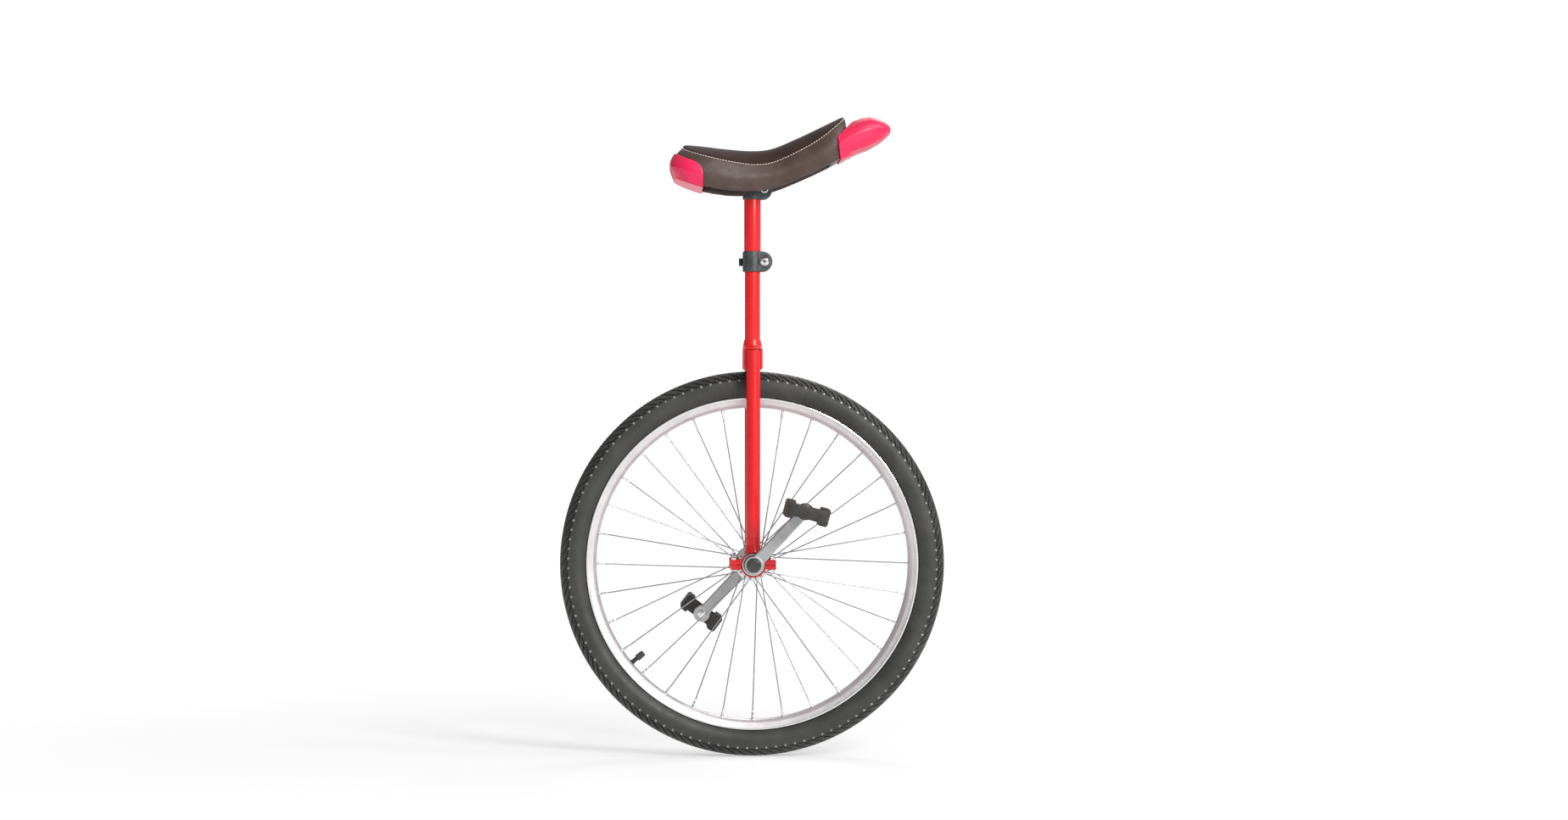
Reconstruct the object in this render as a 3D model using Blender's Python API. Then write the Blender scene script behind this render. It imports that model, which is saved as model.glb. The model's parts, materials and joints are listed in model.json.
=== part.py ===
"""A 24-inch unicycle, built as its separate pieces.

Metres. +X is forward, +Z is up, and the rider's right side is -Y. The origin is
where the tyre meets the ground. Side is -1 for the right and +1 for the left.
"""
import math

import bmesh
import bpy
from mathutils import Matrix, Vector

# Wheel
WHEEL_RADIUS = 0.302
TYRE_HALF_WIDTH = 0.0248
BEAD_RADIUS = 0.2539
RIM_RADIUS = 0.261
RIM_INNER_RADIUS = 0.2445
RIM_HALF_WIDTH = 0.0150
RING_SEGMENTS = 40
HALF_STEP = math.pi / RING_SEGMENTS
SPOKE_RADIUS = 0.0010
SPOKE_PITCH = math.radians(11.25)
NIPPLE_RADIUS = 0.0021
NIPPLE_LENGTH = 0.0135
VALVE_ANGLE = -12.5 * SPOKE_PITCH

# Hub and axle
FLANGE_HALF_SPACING = 0.030
FLANGE_THICKNESS = 0.003
FLANGE_RADIUS = 0.0270
SPOKE_CIRCLE_RADIUS = 0.0225
SPOKE_HOLE_RADIUS = 0.0017
HUB_BARREL_RADIUS = 0.0165
HUB_HALF_WIDTH = 0.0385
AXLE_RADIUS = 0.0085
SQUARE_HALF = 0.0063
AXLE_HALF_LENGTH = 0.0745
ROUND_HALF_LENGTH = 0.0575
CRANK_BOLT_RADIUS = 0.0040
CRANK_BOLT_START = 0.0560

# Bearings (17 x 35 x 10) and their holders
BEARING_Y = 0.050
BEARING_RADIUS = 0.0175
BEARING_HALF_WIDTH = 0.0050
OUTER_RACE_BORE = 0.0117
INNER_RACE_RADIUS = 0.0113
HOLDER_RADIUS = 0.0200
HOLDER_HALF_WIDTH = 0.0065
LUG_REACH = 0.0355
LUG_THICKNESS = 0.0073
CAP_BOLT_REACH = 0.0284
CAP_BOLT_RADIUS = 0.0029

# Cranks and pedals
CRANK_LENGTH = 0.115
CRANK_ANGLE = math.radians(46.5)
CRANK_INNER_FACE = 0.0655
CRANK_OUTER_FACE = 0.0800
CRANK_BOSS_RADIUS = 0.0140
CRANK_EYE_RADIUS = 0.0130
CRANK_ARM_WIDTH = 0.0180
CRANK_BOSS_FACE = 0.0590
BOLT_SEAT_Y = 0.0750
CAP_THREAD_RADIUS = 0.0103
PEDAL_THREAD_RADIUS = 0.0070
DUST_CAP_RADIUS = 0.0115
PEDAL_ANGLES = {-1: math.radians(-14.5), 1: math.radians(-37.0)}
PEDAL_INNER_FACE = 0.0850
PEDAL_OUTER_FACE = 0.1800
PEDAL_LENGTH = 0.068
PEDAL_HEIGHT = 0.028
PEDAL_BARREL_RADIUS = 0.0092
SPINDLE_RADIUS = 0.0052

# Frame
STEM_RADIUS = 0.0120
STEM_BORE = 0.0104
STEM_TOP = 0.831
LEG_RADIUS = 0.0109
LEG_WALL = 0.0016
LEG_TOP = 0.6363
VENT_Z = 0.345
CROWN_BOTTOM = 0.6064
CROWN_SHOULDER = 0.6437
CROWN_TOP = 0.6544
CROWN_RADIUS = 0.01505

# Saddle tube and its clamps
TUBE_RADIUS = 0.0131
TUBE_BORE = 0.01225
TUBE_TOP = 0.9050
CLAMP_RADIUS = 0.0154
CLAMP_HALF_HEIGHT = 0.0161
LOWER_CLAMP_Z = 0.7764
UPPER_CLAMP_Z = 0.8900
EAR_HALF_WIDTH = 0.0112
EAR_BOLT_X = 0.0183
SLOT_HALF_WIDTH = 0.0012
LEVER_PIVOT_Y = 0.0190
LEVER_HALF_HEIGHT = 0.0062
SKEWER_RADIUS = 0.0026
SKEWER_PIN_RADIUS = 0.0022
SADDLE_BOLT_RADIUS = 0.0030

# Saddle: (x, height) points for smooth curves, from rear to front
CROWN_LINE = [(-0.130, 0.9610), (-0.085, 0.9577), (-0.040, 0.9528), (0.000, 0.9505),
              (0.030, 0.9540), (0.070, 0.9705), (0.110, 0.9895), (0.150, 1.0090)]
SEAM_LINE = [(-0.130, 0.9520), (-0.085, 0.9405), (-0.040, 0.9313), (0.000, 0.9268),
             (0.030, 0.9305), (0.070, 0.9475), (0.110, 0.9700), (0.150, 1.0020)]
HEM_LINE = [(-0.130, 0.9085), (-0.085, 0.8925), (-0.045, 0.8850), (-0.010, 0.8830),
            (0.030, 0.8880), (0.075, 0.9055), (0.115, 0.9240), (0.150, 0.9435)]
HALF_WIDTH_LINE = [(-0.130, 0.0640), (-0.085, 0.0720), (-0.040, 0.0690), (0.000, 0.0590),
                   (0.040, 0.0530), (0.080, 0.0525), (0.120, 0.0540), (0.150, 0.0540)]
# The x of the saddle's crown, of its bulge and of its hem, at its rear end and at its front end
SADDLE_REAR = (-0.1095, -0.1275, -0.1200)
SADDLE_FRONT = (0.1434, 0.1478, 0.1520)
PADDING_WALL = 0.014
BASE_INSET = 0.018
BASE_THICKNESS = 0.0040
BUMPER_THICKNESS = 0.0028
BUMPER_GAP = 0.0005
# The front bumper's nose: (x, lowest, highest, half width)
NOSE_SECTIONS = [(0.134, 0.9312, 0.9850, 0.0545), (0.160, 0.9450, 0.9985, 0.0530),
                 (0.181, 0.9530, 1.0046, 0.0490), (0.200, 0.9636, 0.9996, 0.0410),
                 (0.212, 0.9730, 0.9930, 0.0300), (0.2178, 0.9790, 0.9870, 0.0180)]

GAP = 0.0003
HUB = Vector((0.0, 0.0, WHEEL_RADIUS))

COLOURS = {
    "frame_paint": ((0.86, 0.025, 0.030), 0.32, 0.0),
    "clamp_metal": ((0.075, 0.078, 0.082), 0.45, 0.6),
    "tyre": ((0.050, 0.050, 0.048), 0.75, 0.0),
    "black_rubber": ((0.025, 0.025, 0.025), 0.70, 0.0),
    "rim_alloy": ((0.70, 0.66, 0.66), 0.38, 0.9),
    "hub_alloy": ((0.62, 0.62, 0.63), 0.35, 0.9),
    "bright_steel": ((0.80, 0.80, 0.80), 0.18, 1.0),
    "crank_alloy": ((0.42, 0.42, 0.43), 0.42, 0.9),
    "cap_plastic": ((0.060, 0.058, 0.056), 0.40, 0.0),
    "pedal_plastic": ((0.030, 0.028, 0.026), 0.55, 0.0),
    "bearing_steel": ((0.60, 0.61, 0.63), 0.25, 1.0),
    "saddle_cover": ((0.105, 0.068, 0.055), 0.50, 0.0),
    "base_plastic": ((0.035, 0.035, 0.035), 0.60, 0.0),
    "bumper_plastic": ((0.86, 0.022, 0.120), 0.38, 0.0),
}


def clear_scene():
    for obj in list(bpy.data.objects):
        bpy.data.objects.remove(obj, do_unlink=True)


def make_material(node, finish):
    colour, roughness, metallic = COLOURS[finish]
    material = bpy.data.materials.new(node)
    material.use_nodes = True
    shader = material.node_tree.nodes["Principled BSDF"]
    shader.inputs["Base Color"].default_value = (*colour, 1.0)
    shader.inputs["Roughness"].default_value = roughness
    shader.inputs["Metallic"].default_value = metallic
    material.diffuse_color = (*colour, 1.0)
    return material


def make_axis(name, place, parent=None):
    """An empty on a joint's axis, which carries the pieces of one moving body."""
    axis = bpy.data.objects.new(name, None)
    axis.empty_display_size = 0.03
    bpy.context.collection.objects.link(axis)
    axis.parent = parent
    parent_place = parent["place"] if parent else (0.0, 0.0, 0.0)
    axis.location = Vector(place) - Vector(parent_place)
    axis["place"] = tuple(place)
    return axis


def solid(bm):
    """A temporary object from a bmesh, in world coordinates."""
    bmesh.ops.recalc_face_normals(bm, faces=bm.faces)
    mesh = bpy.data.meshes.new("solid")
    bm.to_mesh(mesh)
    bm.free()
    obj = bpy.data.objects.new("solid", mesh)
    bpy.context.collection.objects.link(obj)
    return obj


def combine(obj, operation, *others):
    """Apply one exact Boolean after another, and remove the pieces that were used."""
    for other in others:
        modifier = obj.modifiers.new("combine", "BOOLEAN")
        modifier.operation = operation
        modifier.solver = "EXACT"
        modifier.object = other
        graph = bpy.context.evaluated_depsgraph_get()
        mesh = bpy.data.meshes.new_from_object(obj.evaluated_get(graph))
        obj.modifiers.clear()
        obj.data = mesh
        bpy.data.objects.remove(other, do_unlink=True)
    return obj


def cut(obj, *others):
    return combine(obj, "DIFFERENCE", *others)


def join(obj, *others):
    return combine(obj, "UNION", *others)


def common(obj, *others):
    return combine(obj, "INTERSECT", *others)


def place_piece(obj, name, finish, axis, sharp_degrees=35):
    """Name a finished solid, give it its material and hang it on its body's axis."""
    origin = Vector(axis["place"])
    obj.data.transform(Matrix.Translation(-origin))
    obj.name = name
    obj.data.name = name
    obj.data.materials.clear()
    obj.data.materials.append(make_material(name, finish))
    obj.data.shade_smooth()
    obj.data.set_sharp_from_angle(angle=math.radians(sharp_degrees))
    obj.parent = axis
    return obj


def polar(radius, angle, y=0.0):
    """A point in the wheel, at an angle from +X towards +Z."""
    return Vector((radius * math.cos(angle), y, WHEEL_RADIUS + radius * math.sin(angle)))


def turned(profile, centre, axis, segments, phase=0.0, closed=True):
    """Turn (radius, height) points about an axis. An open profile starts and ends on the axis."""
    bm = bmesh.new()
    verts = [bm.verts.new((radius, 0.0, height)) for radius, height in profile]
    pairs = list(zip(verts, verts[1:]))
    if closed:
        pairs.append((verts[-1], verts[0]))
    edges = [bm.edges.new(pair) for pair in pairs]
    bmesh.ops.spin(bm, geom=verts + edges, cent=(0, 0, 0), axis=(0, 0, 1), angle=math.tau,
                   steps=segments, use_merge=True)
    bmesh.ops.remove_doubles(bm, verts=bm.verts, dist=1e-6)
    turn = Matrix.Rotation(phase, 4, "Z")
    stand = Vector((0, 0, 1)).rotation_difference(Vector(axis)).to_matrix().to_4x4()
    bmesh.ops.transform(bm, matrix=Matrix.Translation(centre) @ stand @ turn, verts=bm.verts)
    return solid(bm)


def ring(inner, outer, low, high, centre, axis, segments=24):
    return turned([(inner, low), (outer, low), (outer, high), (inner, high)], centre, axis, segments)


def rod(radius, start, end, segments=24, phase=0.0):
    start, end = Vector(start), Vector(end)
    length = (end - start).length
    profile = [(0, 0), (radius, 0), (radius, length), (0, length)]
    return turned(profile, start, (end - start).normalized(), segments, phase, closed=False)


def box(low, high):
    bm = bmesh.new()
    bmesh.ops.create_cube(bm, size=1.0)
    low, high = Vector(low), Vector(high)
    size = high - low
    place = Matrix.Translation((low + high) / 2) @ Matrix.Diagonal((*size, 1.0))
    bmesh.ops.transform(bm, matrix=place, verts=bm.verts)
    return solid(bm)


def prism(outline, start, depth):
    """Extrude an outline of world points along a vector."""
    bm = bmesh.new()
    face = bm.faces.new([bm.verts.new(Vector(point) + Vector(start)) for point in outline])
    extruded = bmesh.ops.extrude_face_region(bm, geom=[face])
    top = [item for item in extruded["geom"] if isinstance(item, bmesh.types.BMVert)]
    bmesh.ops.translate(bm, vec=depth, verts=top)
    return solid(bm)


def loft(rings):
    """Bridge equal rings of points, and close both ends with strips from side to side."""
    bm = bmesh.new()
    loops = [[bm.verts.new(point) for point in points] for points in rings]
    for first, second in zip(loops, loops[1:]):
        for index, vert in enumerate(first):
            following = (index + 1) % len(first)
            bm.faces.new((vert, first[following], second[following], second[index]))
    for loop in (loops[0], loops[-1]):
        last = len(loop) - 1
        for index in range(last // 2):
            strip = [loop[index], loop[index + 1], loop[last - index - 1], loop[last - index]]
            bm.faces.new(dict.fromkeys(strip))
    bmesh.ops.triangulate(bm, faces=bm.faces, quad_method="FIXED")
    return solid(bm)


def swept(stations, sides):
    """A round bar through (point, radius) stations."""
    points = [Vector(point) for point, _ in stations]
    tangents = []
    for index in range(len(points)):
        before = points[max(index - 1, 0)]
        after = points[min(index + 1, len(points) - 1)]
        tangents.append((after - before).normalized())
    side = tangents[0].orthogonal().normalized()
    rings = []
    for (point, radius), tangent in zip(stations, tangents):
        side = (side - side.dot(tangent) * tangent).normalized()
        across = tangent.cross(side)
        angles = [math.tau * step / sides for step in range(sides)]
        spread = [math.cos(angle) * side + math.sin(angle) * across for angle in angles]
        rings.append([Vector(point) + radius * direction for direction in spread])
    return loft(rings)


def smooth(points, x):
    """A smooth curve through a few (x, value) points."""
    last = len(points) - 1
    index = 0
    while index < last - 1 and x > points[index + 1][0]:
        index += 1
    (x0, v0), (x1, v1) = points[index], points[index + 1]
    before = points[max(index - 1, 0)]
    after = points[min(index + 2, last)]
    slope0 = (v1 - before[1]) / (x1 - before[0])
    slope1 = (after[1] - v0) / (after[0] - x0)
    span = x1 - x0
    t = min(max((x - x0) / span, 0.0), 1.0)
    return ((2 * t**3 - 3 * t**2 + 1) * v0 + (t**3 - 2 * t**2 + t) * span * slope0
            + (3 * t**2 - 2 * t**3) * v1 + (t**3 - t**2) * span * slope1)


def mirrored(points):
    """Add the other half of a profile of (radius, height) points, which is symmetric in height."""
    return points + [(radius, -height) for radius, height in reversed(points)]


def make_tyre(wheel):
    """A casing of even wall, open to the rim, with a flat facet at its lowest point."""
    w = TYRE_HALF_WIDTH
    outer = [(BEAD_RADIUS, 0.0117), (RIM_RADIUS + 0.0005, 0.0118), (0.2650, 0.0185), (0.2745, w),
             (0.2845, w), (0.2955, 0.0190), (WHEEL_RADIUS, 0.0065)]
    inner = [(BEAD_RADIUS, -0.0086), (0.2615, -0.0086), (0.2735, -0.0208), (0.2855, -0.0208),
             (0.2970, -0.0080)]
    profile = mirrored(outer) + mirrored(inner)
    corner = WHEEL_RADIUS / math.cos(HALF_STEP)
    profile = [(corner if radius == WHEEL_RADIUS else radius, y) for radius, y in profile]
    tyre = turned(profile, HUB, (0, 1, 0), RING_SEGMENTS, HALF_STEP)
    place_piece(tyre, "tyre", "tyre", wheel, 50)


def make_inner_tube(wheel):
    """A closed ring of thin wall, with a hole where the valve enters it."""
    outer = [(0.2560, 0.0062), (0.2630, 0.0076), (0.2730, 0.0160), (0.2850, 0.0160), (0.2940, 0.0060)]
    centre_radius = 0.277
    wall = 0.90
    inner = [(centre_radius + wall * (radius - centre_radius), wall * 0.9 * y) for radius, y in outer]
    tube = turned(mirrored(outer), HUB, (0, 1, 0), 32)
    hollow = turned(mirrored(inner), HUB, (0, 1, 0), 32)
    neck = rod(0.0039, polar(0.250, VALVE_ANGLE), polar(0.270, VALVE_ANGLE), 10)
    cut(tube, join(hollow, neck))
    place_piece(tube, "inner_tube", "black_rubber", wheel)


def make_rim(wheel):
    """A double-flanged rim: hooked edges, sloping sides and a well for the tyre's beads."""
    outer = [(0.2532, 0.0120), (RIM_RADIUS, 0.0123), (RIM_RADIUS - 0.0004, RIM_HALF_WIDTH),
             (0.2578, RIM_HALF_WIDTH), (0.2560, 0.0142), (0.2500, 0.0128), (RIM_INNER_RADIUS, 0.0080)]
    well = [(0.2526, -0.0088), (0.2474, -0.0065)]
    rim = turned(mirrored(outer) + mirrored(well), HUB, (0, 1, 0), RING_SEGMENTS, HALF_STEP)
    cut(rim, rod(0.0042, polar(0.235, VALVE_ANGLE), polar(0.265, VALVE_ANGLE), 12))
    place_piece(rim, "rim", "rim_alloy", wheel, 25)


def make_rim_strip(wheel):
    band = mirrored([(0.2480, 0.0060), (0.2488, 0.0060)])
    strip = turned(band, HUB, (0, 1, 0), RING_SEGMENTS, HALF_STEP)
    cut(strip, rod(0.0042, polar(0.240, VALVE_ANGLE), polar(0.255, VALVE_ANGLE), 12))
    place_piece(strip, "rim_strip", "black_rubber", wheel)


def make_valve(wheel):
    """The stem and its cap, turned about the wheel's radius; their heights are wheel radii."""
    direction = polar(1.0, VALVE_ANGLE) - HUB
    stem = [(0, 0.2250), (0.0026, 0.2250), (0.0030, 0.2262), (0.0034, 0.2370),
            (0.0034, 0.2600), (0, 0.2604)]
    stem = turned(stem, HUB, direction, 12, closed=False)
    place_piece(stem, "valve_stem", "black_rubber", wheel)
    cap = [(0, 0.2205), (0.0040, 0.2205), (0.0052, 0.2222), (0.0053, 0.2345),
           (0.0040, 0.2345), (0.0040, 0.2240), (0, 0.2240)]
    cap = turned(cap, HUB, direction, 16, closed=False)
    place_piece(cap, "valve_cap", "cap_plastic", wheel)


def make_hub(wheel):
    """A barrel between two flanges, each with 16 spoke holes."""
    outer_face = FLANGE_HALF_SPACING + FLANGE_THICKNESS / 2
    inner_face = FLANGE_HALF_SPACING - FLANGE_THICKNESS / 2
    shell = [(AXLE_RADIUS + GAP, HUB_HALF_WIDTH), (0.0130, HUB_HALF_WIDTH), (0.0145, outer_face),
             (FLANGE_RADIUS, outer_face), (FLANGE_RADIUS, inner_face), (0.0185, inner_face),
             (HUB_BARREL_RADIUS, 0.0225)]
    hub = turned(mirrored(shell), HUB, (0, 1, 0), 24)
    for hole in range(16):
        for side in (-1, 1):
            angle = -(2 * hole + (1 if side < 0 else 0)) * SPOKE_PITCH
            inside = polar(SPOKE_CIRCLE_RADIUS, angle, side * (inner_face - 0.001))
            outside = polar(SPOKE_CIRCLE_RADIUS, angle, side * (outer_face + 0.001))
            cut(hub, rod(SPOKE_HOLE_RADIUS, inside, outside, 5))
    place_piece(hub, "hub_shell", "hub_alloy", wheel)


def make_axle(wheel):
    """A round shaft whose two ends are squares, and are threaded inside for the crank bolts."""
    chamfer = 0.0006
    profile = [(0, ROUND_HALF_LENGTH), (AXLE_RADIUS - chamfer, ROUND_HALF_LENGTH),
               (AXLE_RADIUS, ROUND_HALF_LENGTH - chamfer)]
    shaft = turned(mirrored(profile), HUB, (0, 1, 0), 20, closed=False)
    corner = Vector((SQUARE_HALF, AXLE_HALF_LENGTH, SQUARE_HALF))
    ends = box(-corner, corner)
    ends.data.transform(Matrix.Translation(HUB) @ Matrix.Rotation(-CRANK_ANGLE, 4, "Y"))
    common(ends, rod(AXLE_RADIUS - 0.0001, polar(0, 0, -0.1), polar(0, 0, 0.1), 20))
    join(shaft, ends)
    for side in (-1, 1):
        hole = rod(CRANK_BOLT_RADIUS + GAP, polar(0, 0, side * 0.050), polar(0, 0, side * 0.090), 10)
        cut(shaft, hole)
    place_piece(shaft, "axle", "bearing_steel", wheel)


def spoke_stations(rim_angle, hub_angle, side, elbow_outside, crossing):
    """A headed elbow through its flange hole, past the crossing, into its nipple."""
    face = FLANGE_HALF_SPACING * side
    away = side if elbow_outside else -side
    head = polar(SPOKE_CIRCLE_RADIUS, hub_angle, face - away * 0.0031)
    neck = polar(SPOKE_CIRCLE_RADIUS, hub_angle, face - away * 0.0019)
    elbow = polar(SPOKE_CIRCLE_RADIUS + 0.0004, hub_angle, face + away * 0.0036)
    crossing = crossing + Vector((0, away * 0.0007, 0))
    rim_end = polar(RIM_INNER_RADIUS - 0.0012, rim_angle)
    back = (crossing - rim_end).normalized()
    nipple_start = rim_end + back * NIPPLE_LENGTH
    r = SPOKE_RADIUS
    return [(head, 1.8 * r), (neck, r), (elbow, r), (crossing, r), (nipple_start + back * 0.0008, r),
            (nipple_start, NIPPLE_RADIUS), (rim_end, NIPPLE_RADIUS)]


def make_spoke_pairs(wheel):
    """Each leading spoke and the trailing spoke that it crosses, touching at the crossing."""
    for side, label in ((-1, "right"), (1, "left")):
        for pair in range(8):
            first = -(4 * pair + (1 if side < 0 else 2)) * SPOKE_PITCH
            second = first - 2 * SPOKE_PITCH
            middle = (first + second) / 2
            start = polar(SPOKE_CIRCLE_RADIUS, second)
            end = polar(RIM_INNER_RADIUS, first)
            normal = Vector((-math.sin(middle), 0, math.cos(middle)))
            share = normal.dot(HUB - start) / normal.dot(end - start)
            crossing = start.lerp(end, share)
            crossing.y = side * (FLANGE_HALF_SPACING - 0.0002)
            leading = swept(spoke_stations(first, second, side, True, crossing), 6)
            trailing = swept(spoke_stations(second, first, side, False, crossing), 6)
            join(leading, trailing)
            place_piece(leading, f"spoke_pair_{label}_{pair + 1}", "bright_steel", wheel, 50)


def make_bearing(side, label, frame, wheel):
    middle = Vector((0, side * BEARING_Y, WHEEL_RADIUS))
    half = BEARING_HALF_WIDTH
    outer = ring(OUTER_RACE_BORE, BEARING_RADIUS, -half, half, middle, (0, 1, 0), 24)
    place_piece(outer, f"bearing_outer_{label}", "bearing_steel", frame)
    inner = ring(AXLE_RADIUS + GAP, INNER_RACE_RADIUS, -half, half, middle, (0, 1, 0), 24)
    place_piece(inner, f"bearing_inner_{label}", "bearing_steel", wheel)


def holder_half(side, up):
    """Half of a bearing holder: a half ring with a lug at each end, open to the bearing."""
    half_gap = GAP / 2
    bore = (BEARING_RADIUS + GAP) / math.cos(math.pi / 24)
    rise = math.asin(LUG_THICKNESS / HOLDER_RADIUS)
    outer = [rise + (math.pi - 2 * rise) * step / 12 for step in range(13)]
    inner = [math.pi - math.pi * step / 12 for step in range(1, 12)]
    outline = [(bore, half_gap), (LUG_REACH, half_gap), (LUG_REACH, LUG_THICKNESS)]
    outline += [(HOLDER_RADIUS * math.cos(a), HOLDER_RADIUS * math.sin(a)) for a in outer]
    outline += [(-LUG_REACH, LUG_THICKNESS), (-LUG_REACH, half_gap), (-bore, half_gap)]
    outline += [(bore * math.cos(a), bore * math.sin(a)) for a in inner]
    low = side * BEARING_Y - HOLDER_HALF_WIDTH
    corners = [(x, low, WHEEL_RADIUS + up * z) for x, z in outline]
    return prism(corners, (0, 0, 0), (0, 2 * HOLDER_HALF_WIDTH, 0))


def cut_bolt_holes(body, side):
    """The holes through both lugs."""
    y = side * BEARING_Y
    for end in (-1, 1):
        x = end * CAP_BOLT_REACH
        low, high = (x, y, WHEEL_RADIUS - 0.015), (x, y, WHEEL_RADIUS + 0.015)
        cut(body, rod(CAP_BOLT_RADIUS + 0.0005, low, high, 8))


def make_leg(side, label, frame):
    """A tube on the upper half of its bearing's holder, hollow, with a small vent hole outside."""
    y = side * BEARING_Y
    leg = holder_half(side, 1)
    low = WHEEL_RADIUS + 0.0188
    foot, top = LEG_RADIUS + 0.0003, LEG_RADIUS - 0.0002
    tube = [(0, low), (foot, low), (foot, VENT_Z + 0.005), (top, LEG_TOP - 0.001),
            (top - 0.001, LEG_TOP), (0, LEG_TOP)]
    join(leg, turned(tube, (0, y, 0), (0, 0, 1), 20, closed=False))
    cut_bolt_holes(leg, side)
    hollow = rod(LEG_RADIUS - LEG_WALL, (0, y, WHEEL_RADIUS + 0.024), (0, y, LEG_TOP - 0.002), 14)
    vent = rod(0.0025, (0, y, VENT_Z), (0, y - side * 0.02, VENT_Z), 6)
    cut(leg, join(hollow, vent))
    place_piece(leg, f"leg_{label}", "frame_paint", frame)


def make_bearing_cap(side, label, frame):
    cap = holder_half(side, -1)
    cut_bolt_holes(cap, side)
    place_piece(cap, f"bearing_cap_{label}", "frame_paint", frame)


def make_cap_bolts(side, label, frame):
    """A cap screw with its washer from below, and its nut above."""
    y = side * BEARING_Y
    under = WHEEL_RADIUS - LUG_THICKNESS - GAP
    over = WHEEL_RADIUS + LUG_THICKNESS + GAP
    for end, place in ((-1, "rear"), (1, "front")):
        head = [(0, under - 0.0115), (0.0050, under - 0.0115), (0.0050, under - 0.0016)]
        washer = [(0.0068, under - 0.0016), (0.0068, under)]
        shank = [(CAP_BOLT_RADIUS, under), (CAP_BOLT_RADIUS, over)]
        nut = [(0.0052, over), (0.0052, over + 0.0048), (0.0030, over + 0.0065), (0, over + 0.0065)]
        profile = head + washer + shank + nut
        bolt = turned(profile, (end * CAP_BOLT_REACH, y, 0), (0, 0, 1), 8, closed=False)
        place_piece(bolt, f"cap_bolt_{label}_{place}", "bright_steel", frame)


def make_crank(side, label, wheel):
    """Boss, arm and eye along +X, turned to the crank's angle at the end."""
    inner, outer = side * CRANK_INNER_FACE, side * CRANK_OUTER_FACE
    clear = side * 0.010
    eye = Vector((CRANK_LENGTH, 0, 0))
    crank = rod(CRANK_BOSS_RADIUS, (0, side * CRANK_BOSS_FACE, 0), (0, outer, 0), 24)
    low, high = sorted((inner, outer - side * 0.0010))
    half = CRANK_ARM_WIDTH / 2
    join(crank, box((0.004, low, -half), (CRANK_LENGTH, high, half)))
    join(crank, rod(CRANK_EYE_RADIUS, eye + Vector((0, inner, 0)), eye + Vector((0, outer, 0)), 20))
    square = SQUARE_HALF + GAP
    near, far = sorted((side * 0.050, side * BOLT_SEAT_Y))
    cut(crank, box((-square, near, -square), (square, far, square)))
    cut(crank, rod(CAP_THREAD_RADIUS, (0, side * (BOLT_SEAT_Y - 0.0001), 0), (0, outer + clear, 0), 18))
    start, end = Vector((0, inner - clear, 0)), Vector((0, outer + clear, 0))
    cut(crank, rod(PEDAL_THREAD_RADIUS + 0.0004, eye + start, eye + end, 14))
    turn = CRANK_ANGLE if side < 0 else CRANK_ANGLE + math.pi
    crank.data.transform(Matrix.Translation(HUB) @ Matrix.Rotation(-turn, 4, "Y"))
    place_piece(crank, f"crank_{label}", "crank_alloy", wheel)


def make_crank_fasteners(side, label, wheel):
    """The bolt that holds the crank on the axle, and the cap that covers it."""
    start = polar(0, 0, side * CRANK_BOLT_START)
    outward = (0, side, 0)
    shank, head = CRANK_BOLT_RADIUS, 0.0078
    bolt = [(0, 0), (shank - 0.0006, 0), (shank, 0.0006), (shank, 0.0187), (head, 0.0192),
            (head, 0.0225), (0, 0.0225)]
    bolt = turned(bolt, start, outward, 10, closed=False)
    place_piece(bolt, f"crank_bolt_{label}", "bright_steel", wheel)
    face = CRANK_OUTER_FACE - CRANK_BOLT_START + GAP
    plug = [(0, face - 0.0010), (0.0095, face - 0.0010), (0.0095, face)]
    dome = [(DUST_CAP_RADIUS, face), (DUST_CAP_RADIUS, face + 0.0008), (0.0090, face + 0.0023),
            (0.0045, face + 0.0031), (0, face + 0.0032)]
    cap = plug + dome
    cap = turned(cap, start, outward, 20, closed=False)
    place_piece(cap, f"dust_cap_{label}", "cap_plastic", wheel)


def pedal_centre(side):
    turn = CRANK_ANGLE if side < 0 else CRANK_ANGLE + math.pi
    return polar(CRANK_LENGTH, turn)


def make_pedal_spindle(side, label, wheel):
    """A threaded end in the crank's eye, a collar with spanner room, and the shaft in the pedal."""
    start = pedal_centre(side) + Vector((0, side * 0.0650, 0))
    thread, length = PEDAL_THREAD_RADIUS, 0.1080
    shaft = [(0, 0), (thread - 0.0004, 0), (thread, 0.0006), (thread, 0.0153), (0.0085, 0.0153),
             (0.0085, 0.0185), (SPINDLE_RADIUS, 0.0195), (SPINDLE_RADIUS, length), (0, length)]
    spindle = turned(shaft, start, (0, side, 0), 14, closed=False)
    place_piece(spindle, f"pedal_spindle_{label}", "bright_steel", wheel)


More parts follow.
